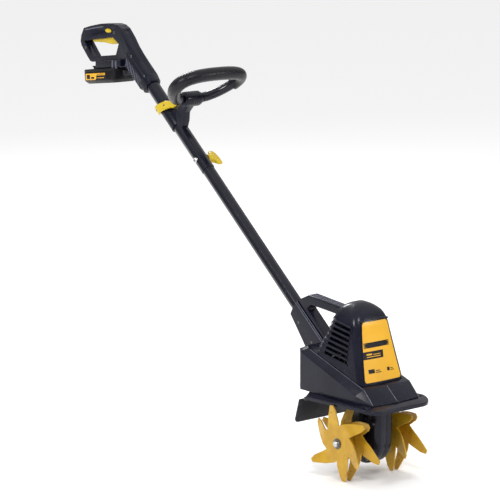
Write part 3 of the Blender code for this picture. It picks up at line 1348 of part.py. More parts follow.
def make_battery():
    """Battery pack: case, lid with its rails, cell pack and release latch."""
    origin = battery_point(BATTERY_LENGTH / 2, BATTERY_HEIGHT)
    lid_foot = BATTERY_HEIGHT - LID_HEIGHT
    rim = lid_foot - GAP
    outer = [battery_loop(rim, 0.0, BATTERY_CORNER), battery_loop(CASE_FOOT, 0.0, BATTERY_CORNER),
             battery_loop(0.0, CASE_FOOT_INSET, BATTERY_CORNER)]
    case = new_piece("battery_case", loft(outer), "black_plastic", origin)
    inner = BATTERY_CORNER - BATTERY_WALL
    cut(case, tool(loft([battery_loop(rim + 5.0, BATTERY_WALL, inner),
                         battery_loop(CASE_FOOT + 1.0, BATTERY_WALL, inner),
                         battery_loop(BATTERY_WALL, CASE_FOOT_INSET + 1.0, inner)])))
    lid = new_piece("battery_lid", loft([battery_loop(lid_foot, 0.0, BATTERY_CORNER),
                                         battery_loop(BATTERY_HEIGHT - 2.0, 0.0, BATTERY_CORNER),
                                         battery_loop(BATTERY_HEIGHT, 2.0, BATTERY_CORNER - 2.0)]),
                    "black_plastic", origin)
    join(lid, tool(rail(0.0, RAIL_REAR, RAIL_FRONT)))
    cells = make_cells(origin)
    long, thick, tall = LATCH_SIZE
    front = BATTERY_LENGTH + GAP
    latch_loops = [[battery_point(front + f, up, x) for up, x in
                    ((rim - tall, -long / 2), (rim - tall, long / 2), (rim, long / 2), (rim, -long / 2))]
                   for f in (0.0, thick)]
    latch = new_piece("battery_latch", loft(latch_loops), "grey_plastic", origin)
    pivot("latch_axis", origin, latch)
    pivot("battery_slide", origin, case, lid, cells)


def rail(grow, rear, front):
    """T-shaped rail on the battery's lid, or with a clearance the channel that it slides in."""
    foot = BATTERY_HEIGHT - 1.0
    shelf = BATTERY_HEIGHT + RAIL_HEIGHT - RAIL_FLANGE - grow
    top = BATTERY_HEIGHT + RAIL_HEIGHT + grow
    neck = RAIL_HALF_WIDTH - RAIL_FLANGE + grow
    wide = RAIL_HALF_WIDTH + grow
    section = ((-neck, foot), (neck, foot), (neck, shelf), (wide, shelf), (wide, top),
               (-wide, top), (-wide, shelf), (-neck, shelf))
    return loft([[battery_point(forward, up, x) for x, up in section] for forward in (rear, front)])


def make_cells(origin):
    """Row of round cells, held together by a strip."""
    pitch = 2 * CELL_RADIUS + 0.4
    first = BATTERY_LENGTH / 2 - pitch * (CELL_COUNT - 1) / 2
    up = BATTERY_WALL + 0.6 + CELL_RADIUS
    half = CELL_LENGTH / 2
    pack = new_piece("cell_pack", rod(battery_point(first, up, -half), ACROSS, CELL_LENGTH,
                                      CELL_RADIUS, 16), "grey_plastic", origin)
    for k in range(1, CELL_COUNT):
        join(pack, tool(rod(battery_point(first + k * pitch, up, -half), ACROSS, CELL_LENGTH,
                            CELL_RADIUS, 16)))
    strip = []
    last = first + (CELL_COUNT - 1) * pitch
    low = up - CELL_STRIP_HALF
    high = up + CELL_STRIP_HALF
    for x in (-half + 3.0, half - 3.0):
        strip.append([battery_point(forward, level, x) for forward, level in
                      ((first, low), (last, low), (last, high), (first, high))])
    join(pack, tool(loft(strip)))
    return pack


def make_dock():
    """Battery dock that hugs the handle's lower bar, with the channel for the battery's rails."""
    tilt = math.radians(BATTERY_TILT)

    def floor(y):
        lift = (BATTERY_HEIGHT + GAP) / math.cos(tilt)
        return BATTERY_FRONT[1] - (y - BATTERY_FRONT[0]) * math.tan(tilt) + lift

    outline = with_tube((DOCK_REAR, floor(DOCK_REAR)), (DOCK_REAR, DOCK_TOP_REAR),
                        (DOCK_FRONT, DOCK_TOP_FRONT), (DOCK_FRONT, floor(DOCK_FRONT)))
    dock = new_piece("battery_dock", slab(outline, -DOCK_HALF_WIDTH, DOCK_HALF_WIDTH),
                     "navy_plastic")
    soften(dock, 2.0, 1)
    lowered = [(y, z - DOCK_LOWERING) for y, z in with_tube(*HANDLE_OUTLINE)]
    wide = HANDLE_HALF_WIDTH + GAP
    cut(dock, tool(slab(lowered, -wide, wide)))
    cut(dock, tool(rail(RAIL_CLEARANCE, -40.0, RAIL_FRONT + RAIL_CLEARANCE)))


def make_lead():
    """Motor lead through the shaft, from the rear handle to the socket."""
    stations = range(LEAD_START, round(UPPER_TUBE_END) + LEAD_BEYOND, LEAD_STEP)
    points = [along(distance, LEAD_OUT) for distance in stations]
    new_piece("motor_lead", tube_along(points, LEAD_RADIUS, 0.0, 8), "rubber")


def main():
    """Build every piece."""
    clear_scene()
    make_tines()
    make_gear_case()
    make_motor()
    make_shield()
    make_flap()
    make_deck()
    make_cover()
    make_label()
    make_shaft()
    make_carry_handle()
    make_loop_handle()
    make_rear_handle()
    make_battery()
    make_dock()
    make_lead()


main()
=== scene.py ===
"""Looks of a battery garden tiller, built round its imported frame.

The frame has +Z up, -Y towards the front and +X towards the machine's left.  Sizes in this file
are in millimetres unless a name says otherwise; plain_object() and beads() turn them into metres.
"""
import json
import logging
import math
from collections.abc import Callable, Iterable, Sequence
from dataclasses import dataclass
from enum import Enum
from typing import TypeVar

import bmesh
import bpy
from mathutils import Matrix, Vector


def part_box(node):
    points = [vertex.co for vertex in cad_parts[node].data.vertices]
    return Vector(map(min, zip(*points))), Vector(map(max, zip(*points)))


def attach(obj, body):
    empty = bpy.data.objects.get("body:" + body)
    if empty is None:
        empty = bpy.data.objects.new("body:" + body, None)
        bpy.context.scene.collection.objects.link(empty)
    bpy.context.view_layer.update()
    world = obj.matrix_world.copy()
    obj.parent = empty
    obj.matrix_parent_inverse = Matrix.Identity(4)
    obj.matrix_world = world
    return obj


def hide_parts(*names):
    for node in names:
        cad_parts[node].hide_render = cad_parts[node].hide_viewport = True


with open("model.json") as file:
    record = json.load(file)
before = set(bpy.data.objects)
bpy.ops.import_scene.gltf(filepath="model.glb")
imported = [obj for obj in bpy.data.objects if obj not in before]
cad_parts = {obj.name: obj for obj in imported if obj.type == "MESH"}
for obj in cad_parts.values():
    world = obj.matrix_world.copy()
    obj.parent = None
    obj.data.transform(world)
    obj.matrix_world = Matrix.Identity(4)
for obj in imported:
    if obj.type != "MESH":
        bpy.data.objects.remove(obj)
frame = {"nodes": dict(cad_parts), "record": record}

LOG = logging.getLogger("tiller")
MM = 0.001
ACROSS = Vector((1.0, 0.0, 0.0))
BOTH = (-1.0, 1.0)                      # the machine's right and its left
RECORD = frame["record"]
BODY_OF = {node: body for body, nodes in RECORD["behaviour"]["bodies"].items() for node in nodes}
SLOT_OF = {part["node"]: part["material_slot"] for part in RECORD["subparts"]}
Loop = list[Vector]
Pair = tuple[float, float]
Triple = tuple[float, float, float]
Mesh = bmesh.types.BMesh
Value = TypeVar("Value", float, Vector)


# ------------------------------------------------------------------ finishes

class Grain(Enum):
    """Fine surface relief of a finish."""

    MOULDED = "spark-eroded plastic"
    GLOSS = "polished plastic"
    PAINT = "sprayed coat"
    STEEL = "drawn or turned metal"
    FOAM = "closed-cell foam"
    FILM = "printed film"


@dataclass(frozen=True)
class Relief:
    """How a grain is drawn: cells per metre, depth in metres, and stretch along X, Y and Z."""

    scale: float
    depth: float
    stretch: tuple[float, float, float] = (1.0, 1.0, 1.0)
    cells: bool = False


RELIEFS = {
    Grain.MOULDED: Relief(1500.0, 0.00006),
    Grain.GLOSS: Relief(420.0, 0.00003),
    Grain.PAINT: Relief(330.0, 0.00005),
    Grain.STEEL: Relief(900.0, 0.00003, (0.06, 1.0, 1.0)),
    Grain.FOAM: Relief(1300.0, 0.00016, cells=True),
    Grain.FILM: Relief(700.0, 0.00001),
}


CLOUD_BAND = (0.38, 0.64)               # part of the noise that the second colour fades in over
SCUFF_SCALE = 160.0
SCUFF_BAND = (0.66, 0.74)
SCUFF_GAIN = 0.3                        # how far full wear lowers the scuffs' band
PATCH_SCALE = 70.0
PATCH_BAND = (0.3, 0.7)
BUMP_STRENGTH = 0.6
MIX_SHARE, MIX_FIRST, MIX_SECOND, MIX_RESULT = 0, 6, 7, 2      # sockets of a colour Mix node


@dataclass(frozen=True)
class Finish:
    """Procedural finish for one material slot.

    Colours are linear. The second colour shows in soft clouds over the first; the worn colour
    shows in small flecks and scuffs, over the given share of the surface.
    """

    slot: str
    colour: Triple
    second: Triple
    roughness: Pair
    grain: Grain
    metallic: float = 0.0
    specular: float = 0.5
    worn: Triple = (0.1, 0.1, 0.1)
    wear: float = 0.0
    cloud_scale: float = 22.0

    def material(self) -> bpy.types.Material:
        """Return the finish's material, built on first use."""
        return bpy.data.materials.get(f"{self.slot}_finish") or self._build()

    def _build(self) -> bpy.types.Material:
        """Build the node tree: clouds and wear in the colour, patches in the gloss, a fine relief.

        Returns:
            The finished material.
        """
        made = bpy.data.materials.new(f"{self.slot}_finish")
        made.use_nodes = True
        tree = made.node_tree
        shader = tree.nodes["Principled BSDF"]
        place = tree.nodes.new("ShaderNodeTexCoord").outputs["Object"]
        clouds = self.spread(tree, self._noise(tree, place, self.cloud_scale, 3.0), CLOUD_BAND)
        colour = self._mix(tree, clouds, self.colour, self.second)
        if self.wear > 0.0:
            scuffs = self._noise(tree, place, SCUFF_SCALE, 6.0)
            low, high = (edge - SCUFF_GAIN * self.wear for edge in SCUFF_BAND)
            colour = self._mix(tree, self.spread(tree, scuffs, (low, high)), colour, self.worn)
        tree.links.new(colour, shader.inputs["Base Color"])
        patches = self._noise(tree, place, PATCH_SCALE, 4.0)
        tree.links.new(self.spread(tree, patches, PATCH_BAND, self.roughness), shader.inputs["Roughness"])
        shader.inputs["Metallic"].default_value = self.metallic
        shader.inputs["Specular IOR Level"].default_value = self.specular
        tree.links.new(self._relief(tree, place), shader.inputs["Normal"])
        return made

    def _relief(self, tree: bpy.types.NodeTree, place: bpy.types.NodeSocket) -> bpy.types.NodeSocket:
        """Add the grain as a bump.

        Args:
            tree: The material's nodes.
            place: The pattern's coordinates.

        Returns:
            The bumped normal.
        """
        relief = RELIEFS[self.grain]
        stretched = tree.nodes.new("ShaderNodeMapping")
        stretched.inputs["Scale"].default_value = relief.stretch
        tree.links.new(place, stretched.inputs["Vector"])
        if relief.cells:
            cells = tree.nodes.new("ShaderNodeTexVoronoi")
            cells.inputs["Scale"].default_value = relief.scale
            tree.links.new(stretched.outputs["Vector"], cells.inputs["Vector"])
            height = cells.outputs["Distance"]
        else:
            height = self._noise(tree, stretched.outputs["Vector"], relief.scale, 2.0)
        bump = tree.nodes.new("ShaderNodeBump")
        bump.inputs["Strength"].default_value = BUMP_STRENGTH
        bump.inputs["Distance"].default_value = relief.depth
        tree.links.new(height, bump.inputs["Height"])
        return bump.outputs["Normal"]

    @staticmethod
    def _noise(tree: bpy.types.NodeTree, place: bpy.types.NodeSocket, scale: float,
               detail: float) -> bpy.types.NodeSocket:
        """Add a noise texture.

        Args:
            tree: The material's nodes.
            place: The pattern's coordinates.
            scale: Cells per metre.
            detail: Octaves of finer noise.

        Returns:
            The noise's height.
        """
        noise = tree.nodes.new("ShaderNodeTexNoise")
        noise.inputs["Scale"].default_value = scale
        noise.inputs["Detail"].default_value = detail
        tree.links.new(place, noise.inputs["Vector"])
        return noise.outputs["Fac"]

    @staticmethod
    def spread(tree: bpy.types.NodeTree, value: bpy.types.NodeSocket, band: Pair,
                reach: Pair = (0.0, 1.0)) -> bpy.types.NodeSocket:
        """Stretch a band of values.

        Args:
            tree: The material's nodes.
            value: The value to read.
            band: Lowest and highest value read.
            reach: What they become.

        Returns:
            The stretched value.
        """
        ranged = tree.nodes.new("ShaderNodeMapRange")
        for title, number in zip(("From Min", "From Max", "To Min", "To Max"), (*band, *reach)):
            ranged.inputs[title].default_value = number
        tree.links.new(value, ranged.inputs["Value"])
        return ranged.outputs["Result"]

    @staticmethod
    def _mix(tree: bpy.types.NodeTree, share: bpy.types.NodeSocket,
             first: bpy.types.NodeSocket | Triple, second: Triple) -> bpy.types.NodeSocket:
        """Mix two colours.

        Args:
            tree: The material's nodes.
            share: How much of the second colour shows.
            first: The first colour, or the socket that gives it.
            second: The second colour.

        Returns:
            The mixed colour.
        """
        mix = tree.nodes.new("ShaderNodeMix")
        mix.data_type = "RGBA"
        tree.links.new(share, mix.inputs[MIX_SHARE])
        if isinstance(first, tuple):
            mix.inputs[MIX_FIRST].default_value = (*first, 1.0)
        else:
            tree.links.new(first, mix.inputs[MIX_FIRST])
        mix.inputs[MIX_SECOND].default_value = (*second, 1.0)
        return mix.outputs[MIX_RESULT]


FINISHES = {finish.slot: finish for finish in (
    Finish("navy_plastic", (0.0045, 0.0050, 0.0125), (0.0075, 0.0080, 0.0175), (0.17, 0.28),
           Grain.GLOSS, specular=0.22, worn=(0.020, 0.020, 0.032), wear=0.04),
    # Lighter navy for beads on edges, ribs and the grip's strip: a painted highlight where they catch the
    # light.
    Finish("navy_edge", (0.070, 0.072, 0.105), (0.095, 0.097, 0.135), (0.22, 0.32), Grain.GLOSS,
           specular=0.5),
    Finish("battery_plastic", (0.0045, 0.0045, 0.0060), (0.0075, 0.0075, 0.0090), (0.30, 0.42),
           Grain.MOULDED, specular=0.2, worn=(0.02, 0.02, 0.02), wear=0.05),
    Finish("grey_plastic", (0.026, 0.026, 0.031), (0.034, 0.034, 0.040), (0.42, 0.55),
           Grain.MOULDED, specular=0.22, worn=(0.06, 0.06, 0.06), wear=0.06),
    Finish("yellow_plastic", (0.54, 0.38, 0.008), (0.62, 0.44, 0.014), (0.30, 0.42),
           Grain.MOULDED, specular=0.4, worn=(0.50, 0.32, 0.01), wear=0.06),
    Finish("label_film", (0.70, 0.36, 0.014), (0.76, 0.40, 0.018), (0.30, 0.38), Grain.FILM,
           specular=0.35, worn=(0.78, 0.40, 0.02), wear=0.04, cloud_scale=12.0),
    Finish("tine_paint", (0.46, 0.255, 0.010), (0.56, 0.325, 0.018), (0.26, 0.40), Grain.PAINT,
           metallic=0.15, specular=0.5, worn=(0.36, 0.17, 0.012), wear=0.10, cloud_scale=30.0),
    Finish("tube_paint", (0.0045, 0.0050, 0.0110), (0.0070, 0.0075, 0.0150), (0.13, 0.22),
           Grain.PAINT, specular=0.34, worn=(0.03, 0.03, 0.04), wear=0.04),
    Finish("foam", (0.0045, 0.0045, 0.0080), (0.0080, 0.0080, 0.0120), (0.24, 0.34), Grain.FOAM,
           specular=0.26, worn=(0.02, 0.02, 0.025), wear=0.06),
    Finish("zinc_steel", (0.60, 0.60, 0.61), (0.50, 0.50, 0.50), (0.22, 0.34), Grain.STEEL,
           metallic=1.0, worn=(0.35, 0.33, 0.30), wear=0.12),
    Finish("dark_steel", (0.16, 0.16, 0.17), (0.11, 0.11, 0.11), (0.30, 0.44), Grain.STEEL,
           metallic=1.0, worn=(0.08, 0.07, 0.06), wear=0.15),
    Finish("bronze", (0.50, 0.33, 0.13), (0.42, 0.26, 0.10), (0.26, 0.40), Grain.STEEL,
           metallic=1.0, worn=(0.25, 0.14, 0.06), wear=0.2),
    Finish("cell_wrap", (0.03, 0.16, 0.08), (0.04, 0.20, 0.10), (0.25, 0.35), Grain.FILM),
    Finish("rubber", (0.010, 0.010, 0.010), (0.016, 0.016, 0.016), (0.60, 0.75), Grain.MOULDED,
           worn=(0.03, 0.03, 0.03), wear=0.10),
)}


# ------------------------------------------------------------------ mesh work

def turns(count: int) -> list[float]:
    """Angles of a full turn in equal steps."""
    return [math.tau * k / count for k in range(count)]


def between(start: Sequence[float], end: Sequence[float], steps: int) -> list[tuple[float, ...]]:
    """Rows in equal steps from start to end, both included."""
    return [tuple(a + (b - a) * k / steps for a, b in zip(start, end)) for k in range(steps + 1)]


def spline(a: Value, b: Value, c: Value, d: Value, t: float) -> Value:
    """Catmull-Rom value at share t of the way from b to c."""
    return 0.5 * (2 * b + (c - a) * t + (2 * a - 5 * b + 4 * c - d) * t * t
                  + (3 * b - a - 3 * c + d) * t ** 3)


def smooth_path(points: Sequence[Vector], per_span: int) -> Loop:
    """Smooth curve through points.

    Args:
        points: The points that it passes.
        per_span: Steps between each pair.

    Returns:
        The curve's points.
    """
    padded = [2 * points[0] - points[1], *points, 2 * points[-1] - points[-2]]
    spans = zip(padded, padded[1:], padded[2:], padded[3:])
    return [spline(*span, step / per_span) for span in spans for step in range(per_span)] + [points[-1]]


def crossing(high: float, below: Callable[[float], bool]) -> float:
    """Find where a test turns from true to false.

    Args:
        high: Top of the range, which starts at 0.
        below: The test.

    Returns:
        The last value at which it is still true.
    """
    low = 0.0
    for _ in range(30):
        middle = (low + high) / 2
        low, high = (middle, high) if below(middle) else (low, middle)
    return low


def loft(loops: Sequence[Sequence[Vector]], ring: bool = False) -> Mesh:
    """Skin a row of closed loops of equal length.

    Args:
        loops: Rows of points.
        ring: Join the last loop to the first, and leave out the end caps.

    Returns:
        A mesh in the loops' own units.
    """
    bm = bmesh.new()
    rows = [[bm.verts.new(point) for point in loop] for loop in loops]
    for lower, upper in zip(rows, rows[1:] + (rows[:1] if ring else [])):
        for i in range(len(lower)):
            j = (i + 1) % len(lower)
            bm.faces.new((lower[i], lower[j], upper[j], upper[i]))
    if not ring:
        bm.faces.new(rows[0])
        bm.faces.new(rows[-1])
    return bm


def slab(outline: Sequence[Pair], low_x: float, high_x: float) -> Mesh:
    """Side outline of (y, z) points, given a width along X."""
    return loft([[Vector((x, y, z)) for y, z in outline] for x in (low_x, high_x)])


def turned(profile: Sequence[Pair], start: Vector, axis: Vector, segments: int) -> Mesh:
    """Turn a profile about an axis.

    Args:
        profile: (distance, radius) pairs.
        start: The point that distances are measured from.
        axis: The axis' direction.
        segments: Faces round it.

    Returns:
        The closed mesh.
    """
    turn = axis.to_track_quat("Z", "Y")
    return loft([[start + axis * distance + turn @ Vector((radius * math.cos(a), radius * math.sin(a), 0.0))
                  for a in turns(segments)] for distance, radius in profile])


def sweep(path: Sequence[Vector], radii: Sequence[float], bore: float, segments: int) -> Mesh:
    """Round hollow bar along a path.

    Args:
        path: The points that it follows.
        radii: Its radius at each point.
        bore: Its inner radius.
        segments: Faces round it.

    Returns:
        The closed mesh.
    """
    last = len(path) - 1
    tangents = [(path[min(i + 1, last)] - path[max(i - 1, 0)]).normalized() for i in range(last + 1)]
    side = tangents[0].orthogonal().normalized()
    axes = []
    for tangent in tangents:
        side = (side - tangent * side.dot(tangent)).normalized()
        axes.append((side.copy(), tangent.cross(side)))

    def ring(i: int, size: float) -> Loop:
        """Points round the path's point i."""
        first, second = axes[i]
        return [path[i] + size * (math.cos(a) * first + math.sin(a) * second) for a in turns(segments)]

    outer = [ring(i, radii[i]) for i in range(last + 1)]
    return loft(outer + [ring(i, bore) for i in reversed(range(last + 1))], ring=True)


def stepped(rows: Sequence[tuple[float, float, bool]], sides: int, blunt: float,
            place: Callable[[float, float, float], Vector]) -> Mesh:
    """Turned steps, of which some are six-sided.

    Args:
        rows: Distance, radius, and whether it is six-sided, for each loop.
        sides: Points in each loop.
        blunt: Distance to a six-sided loop's flats, as a share of its radius.
        place: Gives the point at a distance and two coordinates square to it.

    Returns:
        The closed mesh.
    """
    loops = []
    for distance, radius, hexed in rows:
        loop = []
        for angle in turns(sides):
            share = blunt / max(math.cos(angle % (math.pi / 3) - math.pi / 6), blunt) if hexed else 1.0
            loop.append(place(distance, radius * share * math.cos(angle), radius * share * math.sin(angle)))
        loops.append(loop)
    return loft(loops)


SCREW_SINK = 1.0                        # how far a head reaches under the surface
SCREW_SIDES = 24
SCREW_SHOULDER, SCREW_FACE = 0.7, 0.86  # chamfer's start and width, as shares of height and radius
RECESS_FLOOR, RECESS_DRAFT = 0.3, 0.96  # recess' floor and its width there, as shares


def cap_screw(radius: float, height: float, socket: float) -> Mesh:
    """Screw head with a six-sided recess, standing on the origin.

    Args:
        radius: The head's radius.
        height: Its height.
        socket: The recess' radius.

    Returns:
        The closed mesh.
    """
    rows = ((-SCREW_SINK, radius, False), (height * SCREW_SHOULDER, radius, False),
            (height, radius * SCREW_FACE, False), (height, socket, True),
            (height * RECESS_FLOOR, socket * RECESS_DRAFT, True))
    return stepped(rows, SCREW_SIDES, math.cos(math.pi / 6), lambda z, x, y: Vector((x, y, z)))


def hatch(corners: Sequence[Pair], slope: float, pitch: float) -> list[list[Pair]]:
    """Parallel lines across a convex outline.

    Args:
        corners: The outline's (u, v) corners, in order.
        slope: The lines' direction, in degrees from u towards v.
        pitch: Distance between lines.

    Returns:
        Each line's two ends.
    """
    square = (-math.sin(math.radians(slope)), math.cos(math.radians(slope)))
    marks = [u * square[0] + v * square[1] for u, v in corners]
    edges = list(zip(corners, corners[1:] + corners[:1], marks, marks[1:] + marks[:1]))
    lines = []
    level = min(marks) + pitch / 2
    while level < max(marks):
        lines.append([(u0 + (u1 - u0) * (level - m0) / (m1 - m0), v0 + (v1 - v0) * (level - m0) / (m1 - m0))
                      for (u0, v0), (u1, v1), m0, m1 in edges if (m0 - level) * (m1 - level) < 0])
        level += pitch
    return [line for line in lines if len(line) == 2]


# ------------------------------------------------------------------ pieces

WELD = 0.0005                           # points of a new mesh nearer than this are one point
FRAME_WELD_M = 2e-6                     # the same for a frame's mesh, in metres
FLAT_ANGLE = 0.6                        # faces folded by less than this many degrees are one face


def placed(name: str, mesh: bpy.types.Mesh) -> bpy.types.Object:
    """Link a mesh to the scene as an object at the origin."""
    piece = bpy.data.objects.new(name, mesh)
    bpy.context.scene.collection.objects.link(piece)
    return piece


def kept(name: str, bm: Mesh) -> bpy.types.Mesh:
    """Turn a bmesh into a mesh of the given name, and free it."""
    mesh = bpy.data.meshes.new(name)
    bm.to_mesh(mesh)
    bm.free()
    return mesh


def absorb(target: Mesh, part: Mesh) -> None:
    """Move a part into another bmesh."""
    mesh = kept("part", part)
    target.from_mesh(mesh)
    bpy.data.meshes.remove(mesh)


def plain_object(name: str, bm: Mesh) -> bpy.types.Object:
    """Turn a mesh in millimetres into an object at the origin, and free the mesh.

    Args:
        name: The piece's name.
        bm: The mesh.

    Returns:
        The new object, linked to the scene, with its faces outwards.
    """
    bmesh.ops.remove_doubles(bm, verts=bm.verts, dist=WELD)
    bmesh.ops.recalc_face_normals(bm, faces=bm.faces)
    bmesh.ops.scale(bm, vec=(MM, MM, MM), verts=bm.verts)
    return placed(name, kept(name, bm))


def settle(piece: bpy.types.Object) -> None:
    """Replace a piece's mesh with its evaluated one and drop its modifiers.

    Args:
        piece: The piece.
    """
    bpy.context.view_layer.update()
    graph = bpy.context.evaluated_depsgraph_get()
    mesh = bpy.data.meshes.new_from_object(piece.evaluated_get(graph))
    mesh.name = piece.name
    piece.modifiers.clear()
    piece.data = mesh


def round_edges(piece: bpy.types.Object, width: float, segments: int = 3, angle: float = 28.0) -> None:
    """Round a piece's edges, and settle it.

    Args:
        piece: The piece.
        width: Width of the rounding.
        segments: Faces across each rounded edge.
        angle: Edges folded by more than this many degrees are rounded.
    """
    bevel = piece.modifiers.new("rounding", "BEVEL")
    bevel.width = width * MM
    bevel.segments = segments
    bevel.limit_method = "ANGLE"
    bevel.angle_limit = math.radians(angle)
    bevel.use_clamp_overlap = True
    bevel.miter_outer = "MITER_ARC"
    settle(piece)


def carve(piece: bpy.types.Object, cutter: bpy.types.Object) -> None:
    """Cut a closed cutter out of a piece, then remove the cutter.

    Args:
        piece: The piece.
        cutter: What is cut out of it.
    """
    boolean = piece.modifiers.new("carve", "BOOLEAN")
    boolean.operation = "DIFFERENCE"
    boolean.solver = "EXACT"
    boolean.object = cutter
    settle(piece)
    bpy.data.objects.remove(cutter)


def publish(piece: bpy.types.Object, body: str, slot: str, replaces: Sequence[str] = (),
            sharp: float = 32.0, finish: str = "") -> bpy.types.Object:
    """Shade, dress and hand over a finished piece.

    Args:
        piece: The piece, in place at the origin.
        body: The moving body that it rides on.
        slot: The record's material slot.
        replaces: The frame's nodes that it stands for.
        sharp: Edges folded by more than this many degrees stay sharp.
        finish: Name of the finish, where it isn't the slot's own.

    Returns:
        The same piece.
    """
    piece.data.shade_smooth()
    piece.data.set_sharp_from_angle(angle=math.radians(sharp))
    piece.data.materials.clear()
    piece.data.materials.append(FINISHES[finish or slot].material())
    for polygon in piece.data.polygons:
        polygon.material_index = 0
    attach(piece, body)
    if replaces:
        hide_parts(*replaces)
    LOG.info("%s on %s: %d faces", piece.name, body, len(piece.data.polygons))
    return piece


def merged_copy(node: str, name: str) -> bpy.types.Object:
    """Copy a node's solid with its loose triangles merged into whole flat faces.

    Args:
        node: The frame's node.
        name: The copy's name.

    Returns:
        The copy.
    """
    bm = bmesh.new()
    bm.from_mesh(frame["nodes"][node].data)
    bmesh.ops.remove_doubles(bm, verts=bm.verts, dist=FRAME_WELD_M)
    bmesh.ops.dissolve_limit(bm, angle_limit=math.radians(FLAT_ANGLE), verts=bm.verts, edges=bm.edges)
    return placed(name, kept(name, bm))


def refined(node: str, bevel: float, segments: int = 3, angle: float = 28.0, sharp: float = 32.0,
            finish: str = "") -> bpy.types.Object:
    """Stand a copy with rounded edges in for a node.

    Args:
        node: The frame's node.
        bevel: Width of the rounding in millimetres; 0 leaves the edges as they are.
        segments: Faces across each rounded edge.
        angle: Edges folded by more than this many degrees are rounded.
        sharp: Edges folded by more than this many degrees stay sharp in shading.
        finish: Name of the finish, where it isn't the slot's own.

    Returns:
        The new piece.
    """
    piece = merged_copy(node, f"{node}_body")
    if bevel > 0.0:
        round_edges(piece, bevel, segments, angle)
    return publish(piece, BODY_OF[node], SLOT_OF[node], [node], sharp, finish)


def dress(*nodes: str) -> None:
    """Give nodes that keep their own shape their finish.

    Args:
        nodes: The frame's nodes.
    """
    for node in nodes:
        kept = frame["nodes"][node]
        kept.data.materials.clear()
        kept.data.materials.append(FINISHES[SLOT_OF[node]].material())
        LOG.info("%s dressed in %s", node, SLOT_OF[node])


# ------------------------------------------------------------------ node trees

class Tree:
    """Geometry Nodes tree with named inputs, which is run once and leaves a plain mesh."""

    def __init__(self, name: str, inputs: Sequence[tuple[str, str]]) -> None:
        """Make an empty tree with the given (name, socket type) inputs.

        Args:
            name: The tree's name.
            inputs: Name and socket type of each input after the geometry.
        """
        self.group = bpy.data.node_groups.new(name, "GeometryNodeTree")
        face = self.group.interface
        face.new_socket("Geometry", in_out="INPUT", socket_type="NodeSocketGeometry")
        for title, kind in inputs:
            face.new_socket(title, in_out="INPUT", socket_type=kind)
        face.new_socket("Geometry", in_out="OUTPUT", socket_type="NodeSocketGeometry")
        self.source = self.node("NodeGroupInput").outputs

    def node(self, kind: str, **settings: object) -> bpy.types.Node:
        """Add a node.

        Args:
            kind: The node's type.
            settings: Its properties.

        Returns:
            The node.
        """
        made = self.group.nodes.new(kind)
        for key, value in settings.items():
            setattr(made, key, value)
        return made

    def link(self, start: bpy.types.NodeSocket, end: bpy.types.NodeSocket) -> None:
        """Join two sockets."""
        self.group.links.new(start, end)

    def finish(self, geometry: bpy.types.NodeSocket) -> None:
        """End the tree in Realize Instances and Set Material.

        Args:
            geometry: What the tree has made.
        """
        real = self.node("GeometryNodeRealizeInstances")
        painted = self.node("GeometryNodeSetMaterial")
        self.link(geometry, real.inputs["Geometry"])
        self.link(real.outputs["Geometry"], painted.inputs["Geometry"])
        self.link(self.source["Finish"], painted.inputs["Material"])
        self.link(painted.outputs["Geometry"], self.node("NodeGroupOutput").inputs["Geometry"])

    def run(self, carrier: bpy.types.Object, values: dict[str, object]) -> bpy.types.Object:
        """Run the tree on a carrier and keep the result as the carrier's plain mesh.

        Args:
            carrier: The object whose mesh the tree starts from.
            values: A value for each named input.

        Returns:
            The carrier, with its new mesh and no modifier.
        """
        sockets = {item.name: item.identifier for item in self.group.interface.items_tree
                   if item.item_type == "SOCKET" and item.in_out == "INPUT"}
        modifier = carrier.modifiers.new(self.group.name, "NODES")
        modifier.node_group = self.group
        for title, value in values.items():
            modifier[sockets[title]] = value
        settle(carrier)
        return carrier


def bead_tree() -> Tree:
    """Build the tree that turns a mesh of edges into round beads.

    Returns:
        The tree, with inputs for the beads' radius, sides and finish.
    """
    tree = Tree("beads", (("Radius", "NodeSocketFloat"), ("Sides", "NodeSocketInt"),
                          ("Finish", "NodeSocketMaterial")))
    curve = tree.node("GeometryNodeMeshToCurve")
    profile = tree.node("GeometryNodeCurvePrimitiveCircle")
    swept = tree.node("GeometryNodeCurveToMesh")
    swept.inputs["Fill Caps"].default_value = True
    tree.link(tree.source["Geometry"], curve.inputs["Mesh"])
    tree.link(tree.source["Sides"], profile.inputs["Resolution"])
    tree.link(tree.source["Radius"], profile.inputs["Radius"])
    tree.link(curve.outputs["Curve"], swept.inputs["Curve"])
    tree.link(profile.outputs["Curve"], swept.inputs["Profile Curve"])
    tree.finish(swept.outputs["Mesh"])
    return tree


def scatter_tree() -> Tree:
    """Build the tree that stands a copy of a small piece on each point, turned the point's way.

    Returns:
        The tree, with inputs for the piece and its finish.
    """
    tree = Tree("copies", (("Piece", "NodeSocketObject"), ("Finish", "NodeSocketMaterial")))
    source = tree.node("GeometryNodeObjectInfo")
    facing = tree.node("GeometryNodeInputNamedAttribute", data_type="FLOAT_VECTOR")
    facing.inputs["Name"].default_value = "facing"
    turn = tree.node("FunctionNodeAlignRotationToVector", axis="Z")
    copies = tree.node("GeometryNodeInstanceOnPoints")
    tree.link(tree.source["Piece"], source.inputs["Object"])
    tree.link(tree.source["Geometry"], copies.inputs["Points"])
    tree.link(source.outputs["Geometry"], copies.inputs["Instance"])
    tree.link(facing.outputs["Attribute"], turn.inputs["Vector"])
    tree.link(turn.outputs["Rotation"], copies.inputs["Rotation"])
    tree.finish(copies.outputs["Instances"])
    return tree


BEADS = bead_tree()
COPIES = scatter_tree()


